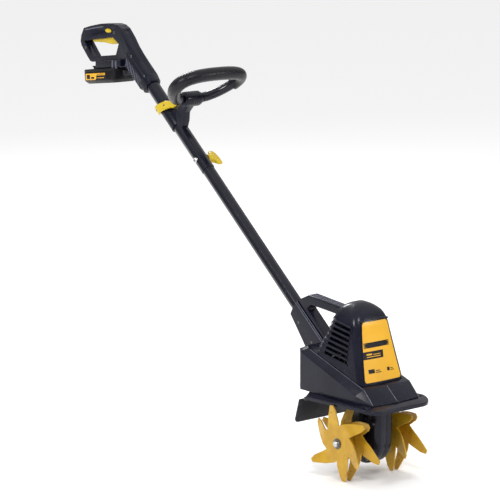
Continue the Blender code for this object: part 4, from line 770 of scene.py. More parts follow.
def beads(name: str, lines: Iterable[Sequence[Vector]], radius: float, body: str, slot: str,
          sides: int = 8, closed: bool = False, finish: str = "") -> bpy.types.Object:
    """Lay round beads along lines.

    Args:
        name: The piece's name.
        lines: Rows of points.
        radius: The bead's radius.
        body: The moving body that the beads ride on.
        slot: The record's material slot.
        sides: Sides of the bead's section.
        closed: Join each line's ends.
        finish: Name of the finish, where it isn't the slot's own.

    Returns:
        The new piece.
    """
    bm = bmesh.new()
    for line in lines:
        verts = [bm.verts.new(point * MM) for point in line]
        for a, b in zip(verts, verts[1:]):
            bm.edges.new((a, b))
        if closed:
            bm.edges.new((verts[-1], verts[0]))
    carrier = placed(name, kept(name, bm))
    BEADS.run(carrier, {"Radius": radius * MM, "Sides": sides, "Finish": FINISHES[finish or slot].material()})
    return publish(carrier, body, slot, sharp=60.0, finish=finish)


def copies(name: str, unit: Mesh, places: Sequence[tuple[Vector, Vector]], body: str,
           slot: str) -> bpy.types.Object:
    """Stand a copy of a small piece at each (point, facing) pair.

    Args:
        name: The piece's name.
        unit: Mesh of one copy, standing on the origin along +Z.
        places: Where each copy stands, and the way it faces.
        body: The moving body that the copies ride on.
        slot: Their finish.

    Returns:
        The new piece.
    """
    pattern = plain_object(f"{name}_unit", unit)
    mesh = bpy.data.meshes.new(name)
    mesh.from_pydata([point * MM for point, _ in places], [], [])
    facing = mesh.attributes.new("facing", "FLOAT_VECTOR", "POINT")
    for row, (_, direction) in zip(facing.data, places):
        row.vector = direction.normalized()
    carrier = placed(name, mesh)
    COPIES.run(carrier, {"Piece": pattern, "Finish": FINISHES[slot].material()})
    bpy.data.objects.remove(pattern)
    return publish(carrier, body, slot, sharp=30.0)


@dataclass(frozen=True)
class ShaftLine:
    """The shaft's axis: a point (y, z) at the socket's mouth and the lean above the horizontal."""

    mouth: tuple[float, float] = (224.7, 322.0)
    lean: float = 40.1

    @property
    def up(self) -> Vector:
        """Direction up the shaft."""
        return Vector((0.0, math.cos(math.radians(self.lean)), math.sin(math.radians(self.lean))))

    @property
    def out(self) -> Vector:
        """Direction square to the shaft, up and forwards."""
        return Vector((0.0, -self.up.z, self.up.y))

    def at(self, distance: float, out: float = 0.0, across: float = 0.0) -> Vector:
        """Point up the shaft, out of its axis and sideways."""
        return Vector((across, *self.mouth)) + distance * self.up + out * self.out


SHAFT = ShaftLine()


# ------------------------------------------------------------------ sub-assemblies

@dataclass
class Tines:
    """Bent discs on their axle, with spacers, washers and hex bolts.

    Each of face_steps holds how far a loop of the bolt's face lies below its top, how much smaller
    than the head it is, and whether it is six-sided.
    """

    axle_height: float = 81.0
    disc_edge: float = 0.5
    spacer_edge: float = 1.0
    washer_lip: float = 0.35
    bolt_radius: float = 6.5
    bolt_height: float = 5.0
    bolt_sides: int = 36
    bolt_blunt: float = 0.93
    shank_radius: float = 3.0
    shank_lead: Pair = (0.6, 0.5)
    seat_edge: float = 0.7
    face_steps: tuple[tuple[float, float, bool], ...] = (
        (0.9, 0.0, True), (0.3, 0.7, False), (0.0, 1.3, False), (0.0, 2.6, False), (0.5, 3.0, False))

    def build(self) -> None:
        """Make every piece that turns on the axle."""
        for side in ("left", "right"):
            for place in ("inner", "outer"):
                refined(f"tine_{side}_{place}", self.disc_edge, 2, angle=45.0, sharp=9.0)
            refined(f"tine_spacer_{side}", self.spacer_edge)
            refined(f"end_washer_{side}", self.washer_lip, 2, finish="dark_steel")
            self.bolt(side)
        dress("axle", "worm_wheel")

    def bolt(self, side: str) -> None:
        """Hex bolt with a chamfered head, its shank in the axle.

        Args:
            side: The axle's end, left or right.
        """
        node = f"end_bolt_{side}"
        low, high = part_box(node)
        way, inner, outer = (1.0, low.x, high.x) if side == "left" else (-1.0, high.x, low.x)
        start = Vector((inner / MM, 0.0, self.axle_height))
        length = abs(outer - inner) / MM
        seat = length - self.bolt_height
        lead, slim = self.shank_lead
        rows = [(0.0, self.shank_radius - slim, False), (lead, self.shank_radius, False),
                (seat, self.shank_radius, False), (seat, self.bolt_radius, False),
                (seat + self.seat_edge, self.bolt_radius, True)]
        rows += [(length - down, self.bolt_radius - less, hexed) for down, less, hexed in self.face_steps]
        steps = stepped(rows, self.bolt_sides, self.bolt_blunt,
                        lambda distance, y, z: start + Vector((way * distance, y, z)))
        publish(plain_object(f"{node}_hex", steps), BODY_OF[node], SLOT_OF[node], [node], sharp=22.0)


@dataclass
class GearCase:
    """Case halves, seals and the gears inside."""

    half_width: float = 23.0
    case_edge: float = 1.2
    seal_edge: float = 0.6
    screw: Triple = (3.4, 1.8, 1.6)
    screw_sink: float = 0.2
    screw_at: tuple[Pair, ...] = ((38.0, 62.0), (21.0, 42.0), (-21.0, 42.0),
                                  (-38.0, 62.0), (-40.0, 120.0), (40.0, 120.0))
    rib_height: float = 146.0
    rib_half: float = 14.0
    rib_reach: float = 52.3
    rib_radius: float = 1.2

    def build(self) -> None:
        """Make the case and dress what it holds."""
        for side in ("left", "right"):
            refined(f"gear_case_{side}", self.case_edge, angle=24.0)
            refined(f"axle_seal_{side}", self.seal_edge, 2)
            dress(f"axle_bearing_{side}")
        dress("worm_bush", "worm_shaft")
        places = [(Vector((way * (self.half_width - self.screw_sink), y, z)), way * ACROSS)
                  for way in BOTH for y, z in self.screw_at]
        copies("gear_case_screws", cap_screw(*self.screw), places, "root", "dark_steel")
        lines = [[Vector((way * self.rib_half, end * self.rib_reach, self.rib_height)) for way in BOTH]
                 for end in BOTH]
        beads("gear_case_ribs", lines, self.rib_radius, "root", "navy_plastic")


@dataclass
class Motor:
    """Motor inside the head, seen only through the louvres."""

    parts: tuple[str, ...] = ("motor_can", "motor_end_cap", "motor_mount", "rotor_core",
                              "cooling_fan", "motor_lead")

    def build(self) -> None:
        """Dress the motor's pieces."""
        dress(*self.parts)


@dataclass
class MotorCover:
    """Tapered cover with rounded columns in front, louvres in its sides and a printed panel.

    Each of levels holds front y, rear y, half width, height in front, height behind and corner
    radius. A block on the panel holds its left, right, low and high edge, and a row of film its
    height, left and right edge.
    """

    levels: tuple[tuple[float, ...], ...] = (
        (-42.0, 101.0, 61.0, 204.3, 251.5, 13.0),
        (-33.0, 91.0, 57.5, 238.0, 276.0, 14.0),
        (-24.5, 78.0, 54.0, 271.0, 299.0, 15.0),
        (-17.0, 70.0, 50.0, 303.0, 320.0, 16.0),
        (-13.0, 65.0, 46.5, 323.0, 335.0, 16.0),
        (-5.0, 58.0, 39.0, 341.0, 348.5, 15.0),
        (8.0, 48.0, 26.0, 353.0, 357.0, 12.0),
        (19.0, 37.0, 12.0, 359.5, 361.0, 6.0),
    )
    wall: float = 2.6
    roof_from: float = 3.0
    roof_fade: float = 4.0
    bulge: float = 3.5
    rear_corner: float = 1.35
    crown: Pair = (-2.4, 0.6)
    steps: int = 5
    arc: int = 12
    front_steps: int = 8
    face_top: float = 4.5
    side_top: float = 6.0
    louvre_count: int = 7
    louvre_pitch: float = 11.0
    louvre_front: float = 5.0
    louvre_rear: float = 68.0
    louvre_rear_step: float = 3.5
    louvre_low: float = 242.0
    louvre_height: float = 6.0
    louvre_slope: float = 0.165
    cut_half: float = 90.0
    fin_low: float = 240.5
    fin_radius: float = 1.9
    fin_steps: int = 24
    fin_lead: float = 4.0
    fin_end: float = 18.0
    fin_turns: Pair = (0.6, 0.9)
    panel_low: float = 208.5
    panel_high: float = 327.0
    panel_half_low: float = 50.0
    panel_half_high: float = 34.5
    panel_corner: float = 5.0
    panel_steps: int = 40
    panel_lift: float = 0.7
    frame_radius: float = 0.9
    frame_lift: float = 0.2
    film_back: float = -0.4
    film_columns: int = 13
    film_steps: int = 6
    print_lift: float = 0.95
    band: tuple[Triple, Triple] = ((254.0, -44.6, 9.0), (269.0, -42.7, 10.5))
    band_lift: float = 1.15
    band_marks: tuple[tuple[float, ...], ...] = (
        (-34.0, -20.0, 262.0, 265.0), (-34.0, 2.0, 257.8, 259.2), (-17.0, 2.0, 262.0, 263.2))
    plate: tuple[Triple, Triple] = ((276.0, -37.5, 30.0), (286.5, -37.5, 30.0))
    plate_border: tuple[Pair, ...] = ((-36.0, 277.4), (28.5, 277.4), (28.5, 285.1), (-36.0, 285.1))
    plate_border_radius: float = 0.45
    panel_marks: tuple[tuple[float, ...], ...] = (
        (-36.0, -20.0, 226.0, 234.0), (-17.0, -3.0, 226.0, 227.6), (-17.0, -6.0, 229.6, 231.2),
        (14.0, 21.0, 226.0, 233.0), (23.5, 33.0, 226.0, 227.4), (23.5, 30.0, 229.4, 230.8))
    brow_past: float = 3.0
    brow_rise: float = 5.0
    brow_sag: float = 3.0
    brow_lift: float = 0.4
    brow_steps: int = 20
    brow_radius: float = 2.4

    def build(self) -> None:
        """Make the shell, its fins, the panel and the brow over it."""
        self.shell()
        self.fins()
        self.panel()
        self.brow()

    def row(self, t: float) -> tuple[float, ...]:
        """Read a level along a smooth curve through the levels.

        Args:
            t: The level, counted from the lowest one.

        Returns:
            What a level holds.
        """
        last = len(self.levels) - 1
        i = min(max(int(t), 0), last - 1)
        rows = [self.levels[min(max(i + k, 0), last)] for k in (-1, 0, 1, 2)]
        return tuple(spline(*values, t - i) for values in zip(*rows))

    def outline(self, t: float, grow: float = 0.0, lift: float = 0.0) -> Loop:
        """Closed outline at a level.

        Args:
            t: The level.
            grow: How far the outline is moved out.
            lift: How far it is moved up.

        Returns:
            The outline's points.
        """
        front, rear, wide, low, high, corner = self.row(t)
        small = max(corner + grow, 1.0)
        large = max(corner * self.rear_corner + grow, 1.0)
        half = wide + grow
        corners = ((half - small, front - grow + small, small, -90.0),
                   (half - large, rear + grow - large, large, 0.0),
                   (large - half, rear + grow - large, large, 90.0),
                   (small - half, front - grow + small, small, 180.0))
        points = [((half - small) * (2.0 * i / self.front_steps - 1.0), front - grow)
                  for i in range(1, self.front_steps)]
        for x, y, radius, start in corners:
            for i in range(self.arc + 1):
                angle = math.radians(start + 90.0 * i / self.arc)
                points.append((x + radius * math.cos(angle), y + radius * math.sin(angle)))
        loop = []
        for x, y in points:
            z = low + (high - low) * (y - front) / (rear - front) + lift
            bow = self.bulge * max(0.0, 1.0 - (x / half) ** 2) * max(0.0, 1.0 - (y - front + grow) / small)
            loop.append(Vector((x, y - bow, z)))
        return loop

    def face(self, x: float, z: float, lift: float) -> Vector:
        """Point on the front face.

        Args:
            x: Its place across the face.
            z: Its height.
            lift: How far it stands off the face.

        Returns:
            The point.
        """
        front, _, wide, *_ = self.row(crossing(self.face_top, lambda t: self.row(t)[3] < z))
        return Vector((x, front - self.bulge * (1.0 - (x / wide) ** 2) - lift, z))

    def side(self, share: float, t: float) -> Vector:
        """Point on the left side, on its rear corner or behind it.

        Args:
            share: Share of the way from the louvres' front round to the rear.
            t: The level.

        Returns:
            The point.
        """
        _, rear, wide, *_, corner = level = self.row(t)
        radius = corner * self.rear_corner
        side_end, corner_end = self.fin_turns
        if share < side_end:
            start = self.louvre_front - self.fin_lead
            x, y = wide, start + (rear - radius - start) * share / side_end
        elif share < corner_end:
            angle = math.radians(90.0 * (share - side_end) / (corner_end - side_end))
            x = wide - radius + radius * math.cos(angle)
            y = rear - radius + radius * math.sin(angle)
        else:
            flat = (share - corner_end) / (1.0 - corner_end)
            x, y = (wide - radius) + (self.fin_end - wide + radius) * flat, rear
        front, _, _, low, high, _ = level
        return Vector((x, y, low + (high - low) * (y - front) / (rear - front)))

    def shell(self) -> None:
        """Thin shell with slots through both sides."""
        last = len(self.levels) - 1
        samples = [i / self.steps for i in range(last * self.steps + 1)]
        grow, lift = self.crown
        outer = [self.outline(t) for t in samples] + [self.outline(last, grow, lift)]
        inner = [self.outline(t, -self.wall, -self.wall * max(0.0, (t - self.roof_from) / self.roof_fade))
                 for t in samples]
        shell = plain_object("motor_cover_shell", loft(outer[::-1] + inner))
        cutter = bmesh.new()
        half = self.louvre_height / 2
        for i in range(self.louvre_count):
            z = self.louvre_low + i * self.louvre_pitch + half
            rear = self.louvre_rear - self.louvre_rear_step * i
            rise = self.louvre_slope * (rear - self.louvre_front)
            ends = [(y + half * math.cos(math.radians(start + 30.0 * k)),
                     middle + half * math.sin(math.radians(start + 30.0 * k)))
                    for y, middle, start in ((rear, z + rise, -90.0), (self.louvre_front, z, 90.0))
                    for k in range(7)]
            absorb(cutter, slab(ends, -self.cut_half, self.cut_half))
        carve(shell, plain_object("slots", cutter))
        publish(shell, "root", "navy_plastic", ["motor_cover"], sharp=38.0)

    def fins(self) -> None:
        """Raised fins between the louvres, carried round the rear corners."""
        lines = []
        for way in BOTH:
            for i in range(self.louvre_count + 1):
                lines.append([])
                for k in range(self.fin_steps + 1):
                    share = k / self.fin_steps
                    start = self.fin_low + i * self.louvre_pitch

                    def under(t: float) -> bool:
                        """Whether the side at level t is still under the fin's line."""
                        point = self.side(share, t)
                        return point.z < start + self.louvre_slope * (point.y - self.louvre_front)

                    point = self.side(share, crossing(self.side_top, under))
                    lines[-1].append(Vector((way * point.x, point.y, point.z)))
        beads("louvre_fins", lines, self.fin_radius, "root", "navy_plastic", sides=12)

    def patch(self, rows: Sequence[Sequence[float]], lift: float) -> Mesh:
        """Film on the front face.

        Args:
            rows: Height, left edge and right edge of each row, from the bottom up.
            lift: How far the film's face stands off the cover.

        Returns:
            The film's closed mesh.
        """
        last = self.film_columns - 1
        bm = bmesh.new()
        back, top = ([[bm.verts.new(self.face(x0 + (x1 - x0) * k / last, z, height))
                       for k in range(last + 1)] for z, x0, x1 in rows]
                     for height in (self.film_back, lift))
        for layer in (back, top):
            for a, b in zip(layer, layer[1:]):
                for k in range(last):
                    bm.faces.new((a[k], a[k + 1], b[k + 1], b[k]))
        for k in (0, last):
            for i in range(len(rows) - 1):
                bm.faces.new((back[i][k], back[i + 1][k], top[i + 1][k], top[i][k]))
        for i in (0, len(rows) - 1):
            for k in range(last):
                bm.faces.new((back[i][k], back[i][k + 1], top[i][k + 1], top[i][k]))
        return bm

    def blocks(self, name: str, blocks: Sequence[Sequence[float]], lift: float, slot: str) -> None:
        """Plain printed blocks on the panel.

        Args:
            name: The piece's name.
            blocks: Left, right, low and high edge of each block.
            lift: How far their faces stand off the cover.
            slot: Their finish.
        """
        together = bmesh.new()
        for x0, x1, z0, z1 in blocks:
            absorb(together, self.patch([(z0, x0, x1), (z1, x0, x1)], lift))
        publish(plain_object(name, together), "root", slot)

    def panel(self) -> None:
        """Printed panel with rounded corners, a dark frame bead as painted shade in the gap round it, plate
        and band, and plain marks.
        """
        rows = []
        corner = self.panel_corner
        for z, half in between((self.panel_low, self.panel_half_low),
                               (self.panel_high, self.panel_half_high), self.panel_steps):
            edge = min(z - self.panel_low, self.panel_high - z)
            if edge < corner:
                half -= corner - math.sqrt(max(corner ** 2 - (corner - edge) ** 2, 0.0))
            rows.append((z, -half, half))
        panel = plain_object("front_panel_film", self.patch(rows, self.panel_lift))
        publish(panel, "root", "label_film", ["front_panel"], sharp=50.0)
        # Navy bead round the panel: painted shade for the gap at its edge.
        line = [self.face(x, z, self.frame_lift) for z, x, _ in rows[1:-1]]
        line += [self.face(x, z, self.frame_lift) for z, _, x in rows[-2:0:-1]]
        beads("front_panel_frame", [line], self.frame_radius, "root", "navy_plastic", closed=True)
        band = self.patch(between(*self.band, self.film_steps), self.print_lift)
        publish(plain_object("panel_band", band), "root", "battery_plastic")
        self.blocks("panel_band_marks", self.band_marks, self.band_lift, "label_film")
        plate = self.patch(between(*self.plate, self.film_steps), self.print_lift)
        publish(plain_object("panel_plate", plate), "root", "battery_plastic")
        border = [self.face(x, z, self.print_lift) for x, z in self.plate_border]
        beads("panel_plate_border", [border], self.plate_border_radius, "root", "label_film", closed=True)
        self.blocks("panel_marks", self.panel_marks, self.print_lift, "battery_plastic")

    def brow(self) -> None:
        """Soft brow over the panel."""
        reach = self.panel_half_high + self.brow_past
        line = [self.face(x, self.panel_high + self.brow_rise - self.brow_sag * (x / reach) ** 2,
                          self.brow_lift) for (x,) in between((-reach,), (reach,), self.brow_steps)]
        beads("panel_brow", [line], self.brow_radius, "root", "navy_plastic", sides=16)


@dataclass
class Head:
    """Deck, shield, flap, carry handle and shaft socket round the motor.

    A rail holds its distance out of the shaft's axis and sideways, an arris its two ends.
    """

    ridge_radius: float = 0.9
    ridges_at: tuple[float, ...] = (-8.4, -2.8, 2.8, 8.4)
    carry_rear: Pair = (173.0, 352.5)
    carry_front: Pair = (50.0, 340.2)
    rail_reach: Pair = (-118.0, -6.0)
    rails: tuple[Pair, ...] = ((19.9, 16.2), (17.0, 18.3))
    # Arris beads stand in for the bright lines along the deck's edges: painted highlights.
    arris_radius: float = 0.8
    side_arrises: tuple[tuple[Triple, Triple], ...] = (
        ((62.6, -54.2, 199.4), (62.6, -80.6, 172.6)), ((62.8, -53.0, 199.8), (62.8, 112.0, 254.2)))
    middle_arris: tuple[Triple, Triple] = ((0.0, -54.0, 199.6), (0.0, -85.4, 172.8))
    socket_screw: Triple = (3.2, 0.9, 1.5)
    socket_screws_at: tuple[float, ...] = (-95.0, -40.0)
    socket_screw_place: Pair = (-8.0, 18.3)
    rivet: Triple = (4.0, 1.6, 1.2)
    rivets_at: tuple[float, ...] = (-66.0, -22.0, 22.0, 66.0)
    rivet_in: float = 5.5
    rivet_down: float = 9.0
    flap_faces: Triple = (0.0, 1.0, 0.26)

    def build(self) -> None:
        """Make the head's shells and their ridges and screws."""
        for side in ("left", "right"):
            refined(f"deck_{side}", 1.3, angle=10.0, sharp=30.0)
        refined("tine_shield", 1.2, angle=24.0, sharp=40.0)
        refined("rear_flap", 1.1)
        refined("carry_handle", 1.3, angle=20.0)
        refined("shaft_socket", 1.2, angle=20.0)
        self.ridges()
        self.screws()

    def ridges(self) -> None:
        """Grip ridges on the carry handle, rails along the socket and beads on the deck's arrises, all in
        lighter navy as painted highlights.
        """
        carry = [[Vector((x, *self.carry_rear)), Vector((x, *self.carry_front))] for x in self.ridges_at]
        rails = [[SHAFT.at(distance, out, way * across) for distance in self.rail_reach]
                 for way in BOTH for out, across in self.rails]
        arrises = [[Vector((way * x, y, z)) for x, y, z in ends]
                   for ends in self.side_arrises for way in BOTH]
        arrises.append([Vector(end) for end in self.middle_arris])
        for name, lines, radius, sides in (("carry_ridges", carry, self.ridge_radius, 8),
                                           ("socket_rails", rails, self.ridge_radius, 8),
                                           ("deck_arrises", arrises, self.arris_radius, 10)):
            beads(name, lines, radius, "root", "navy_plastic", sides, finish="navy_edge")

    def screws(self) -> None:
        """Screws in the socket's sides and rivets at the top of the flap."""
        out, across = self.socket_screw_place
        places = [(SHAFT.at(distance, out, way * across), way * ACROSS)
                  for way in BOTH for distance in self.socket_screws_at]
        copies("socket_screws", cap_screw(*self.socket_screw), places, "root", "dark_steel")
        low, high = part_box("rear_flap")
        rivets = [(Vector((x, low.y / MM + self.rivet_in, high.z / MM - self.rivet_down)),
                   Vector(self.flap_faces)) for x in self.rivets_at]
        copies("flap_rivets", cap_screw(*self.rivet), rivets, "root", "dark_steel")


@dataclass
class Shaft:
    """Fluted tubes that telescope, with the bolt and wing knob that clamp them.

    A tube holds its two ends along the shaft, its radius and its wall; each of knob_rows holds a
    distance out of the shaft and the oval's half length and half width there.
    """

    flutes: int = 8
    depth: float = 0.45
    segments: int = 96
    tubes: tuple[tuple[str, float, float, float, float], ...] = (
        ("lower_tube", -140.0, 479.0, 13.6, 1.1), ("upper_tube", 389.0, 738.0, 15.0, 1.1))
    end_round: Pair = (0.4, 0.3)
    bolt_at: float = 421.0
    bolt_radius: float = 3.0
    bolt_sides: int = 36
    head_radius: float = 6.0
    head_steps: tuple[Pair, ...] = ((0.2, 2.4), (0.0, 4.2), (0.9, 5.5), (2.2, 6.0))
    seat: float = 15.3
    seat_edge: Pair = (0.6, 2.2)
    knob_turn: float = -10.0
    knob_sides: int = 48
    knob_rows: tuple[Triple, ...] = (
        (15.8, 9.0, 9.0), (16.6, 9.5, 9.5), (24.0, 9.3, 9.0), (28.0, 12.0, 8.4), (31.0, 17.0, 7.6),
        (34.0, 21.4, 6.8), (37.0, 22.9, 6.2), (42.0, 22.8, 5.6), (44.3, 21.8, 4.6), (45.2, 20.0, 3.2))
    rib_shares: tuple[float, ...] = (-0.6, -0.3, 0.0, 0.3, 0.6)
    rib_oval: Pair = (22.0, 5.9)
    rib_reach: Pair = (36.0, 42.5)
    rib_radius: float = 0.7

    def build(self) -> None:
        """Make both tubes, the bolt's head and the knob."""
        for node, low, high, radius, wall in self.tubes:
            along, less = self.end_round
            loops = [self.section(low, radius - less), self.section(low + along, radius),
                     self.section(high - along, radius), self.section(high, radius - less),
                     self.section(high, radius - wall), self.section(low, radius - wall)]
            publish(plain_object(f"{node}_fluted", loft(loops, ring=True)), "root", "tube_paint", [node])
        centre = SHAFT.at(self.bolt_at)
        low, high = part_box("joint_bolt")
        head, end = low.x / MM, high.x / MM
        edge, slim = self.seat_edge
        profile = [(-self.seat - edge, slim)] + [(head + along, radius) for along, radius in self.head_steps]
        profile += [(-self.seat, self.head_radius), (-self.seat, self.bolt_radius), (end, self.bolt_radius)]
        bolt = plain_object("joint_bolt_head", turned(profile, centre, ACROSS, self.bolt_sides))
        publish(bolt, "root", "zinc_steel", ["joint_bolt"])
        self.knob(centre)

    def section(self, distance: float, radius: float) -> Loop:
        """Fluted section square to the shaft.

        Args:
            distance: Its place up the shaft.
            radius: Its radius on the crests.

        Returns:
            The section's points.
        """
        sizes = ((a, radius - self.depth * (0.5 - 0.5 * math.cos(self.flutes * a)))
                 for a in turns(self.segments))
        return [SHAFT.at(distance, size * math.cos(a), size * math.sin(a)) for a, size in sizes]

    def knob(self, centre: Vector) -> None:
        """Oval wing knob that grows out of a round hub.

        Args:
            centre: Where the bolt crosses the shaft's axis.
        """
        turn = math.radians(self.knob_turn)
        long = math.cos(turn) * SHAFT.up + math.sin(turn) * SHAFT.out
        wide = math.cos(turn) * SHAFT.out - math.sin(turn) * SHAFT.up
        loops = [[centre + x * ACROSS + reach * math.cos(a) * long + thick * math.sin(a) * wide
                  for a in turns(self.knob_sides)] for x, reach, thick in self.knob_rows]
        piece = plain_object("joint_knob_wings", loft(loops))
        publish(piece, "knob", "yellow_plastic", ["joint_knob"], sharp=50.0)
        reach, lift = self.rib_oval
        ribs = [[centre + x * ACROSS + reach * share * long + way * lift * math.sqrt(1.0 - share ** 2) * wide
                 for x in self.rib_reach] for way in BOTH for share in self.rib_shares]
        beads("knob_ribs", ribs, self.rib_radius, "knob", "yellow_plastic")


@dataclass
class LoopHandle:
    """Bent tube in a barrel on the shaft's collar, with its foam grip, lever and pin.

    Points are (sideways, forward) on the loop's tilted plane, from the barrel's middle.
    """

    barrel: Pair = (580.0, 723.0)
    tilt: float = 35.0
    points: tuple[Pair, ...] = (
        (24.0, 0.0), (42.0, 6.0), (60.0, 21.0), (75.0, 43.0), (82.0, 61.0), (82.0, 79.0),
        (73.0, 94.0), (54.0, 103.5), (28.0, 108.0))
    depth: float = 109.0
    steps: int = 12
    tube_radius: float = 8.2
    tube_wall: float = 1.5
    tube_sides: int = 28
    grip_radius: float = 14.5
    grip_fit: float = 0.3
    grip_round: Pair = (4.0, 3.2)
    grip_sides: int = 40
    grip_first: int = 12
    grip_last: int = 174
    boot_first: int = 172
    boot_last: int = 214
    boot_radius: float = 10.6
    boot_fit: float = 0.2
    boot_sides: int = 32
    bands_at: tuple[float, ...] = (-17.0, -11.5, -6.0, 0.0, 6.0, 11.5)
    band_reach: float = 16.3
    band_radius: float = 0.6
    band_steps: int = 40
    rivet: Triple = (2.0, 0.9, 0.8)
    rivet_turns: tuple[float, ...] = (-112.0, -52.0)
    rivet_sink: float = 0.4
    lever_at: float = 578.0
    lever_start: float = -138.0
    lever_span: float = 130.0
    lever_radii: Pair = (19.4, 26.0)
    lever_wall: float = 4.5
    lever_slant: float = 0.45

    def build(self) -> None:
        """Make the tube, grip, boot, bracket, lever and pin."""
        half = [[self.point(way * x, depth) for x, depth in self.points] for way in BOTH]
        path = smooth_path(half[0] + [self.point(0.0, self.depth)] + half[1][::-1], self.steps)
        bore = self.tube_radius - self.tube_wall
        tube = sweep(path, [self.tube_radius] * len(path), bore, self.tube_sides)
        publish(plain_object("loop_tube_bent", tube), "loop_handle", "tube_paint", ["loop_tube"])
        grip = path[self.grip_first:self.grip_last + 1]
        step = (grip[1] - grip[0]).length
        along, deep = self.grip_round
        near = [min(min(i, len(grip) - 1 - i) * step / along, 1.0) for i in range(len(grip))]
        radii = [self.grip_radius - deep * (1.0 - math.sqrt(1.0 - (1.0 - share) ** 2)) for share in near]
        foam = sweep(grip, radii, self.tube_radius + self.grip_fit, self.grip_sides)
        publish(plain_object("loop_grip_foam", foam), "loop_handle", "foam", ["loop_grip"])
        end = path[self.boot_first:self.boot_last]
        boot = sweep(end, [self.boot_radius] * len(end), self.tube_radius + self.boot_fit, self.boot_sides)
        publish(plain_object("loop_end_boot", boot), "loop_handle", "tube_paint")
        refined("loop_bracket", 0.9, angle=30.0, sharp=38.0)
        refined("clamp_lever", 1.1, angle=24.0)
        refined("lever_pin", 0.4, 2)
        self.details()

    def point(self, x: float, depth: float) -> Vector:
        """Point on the loop's tilted plane, sideways and forward from the barrel."""
        lean = math.radians(self.tilt)
        y, z = self.barrel
        return Vector((x, y - depth * math.cos(lean), z + depth * math.sin(lean)))

    def details(self) -> None:
        """Raised bands round the barrel and two rivets in the lever."""
        centre = Vector((0.0, *self.barrel))
        rings = [[centre + Vector((x, self.band_reach * math.cos(a), self.band_reach * math.sin(a)))
                  for a in turns(self.band_steps)] for x in self.bands_at]
        beads("barrel_bands", rings, self.band_radius, "loop_handle", "navy_plastic", sides=6, closed=True)
        rear, front = self.lever_radii
        places = []
        for turn in self.rivet_turns:
            angle = math.radians(turn)
            radius = rear + (front - rear) * (turn - self.lever_start) / self.lever_span
            away = math.cos(angle) * SHAFT.out + math.sin(angle) * ACROSS
            middle = self.lever_at - self.lever_slant * radius * math.cos(angle)
            places.append((SHAFT.at(middle) + (radius + self.lever_wall - self.rivet_sink) * away, away))
        copies("lever_rivets", cap_screw(*self.rivet), places, "lever", "dark_steel")


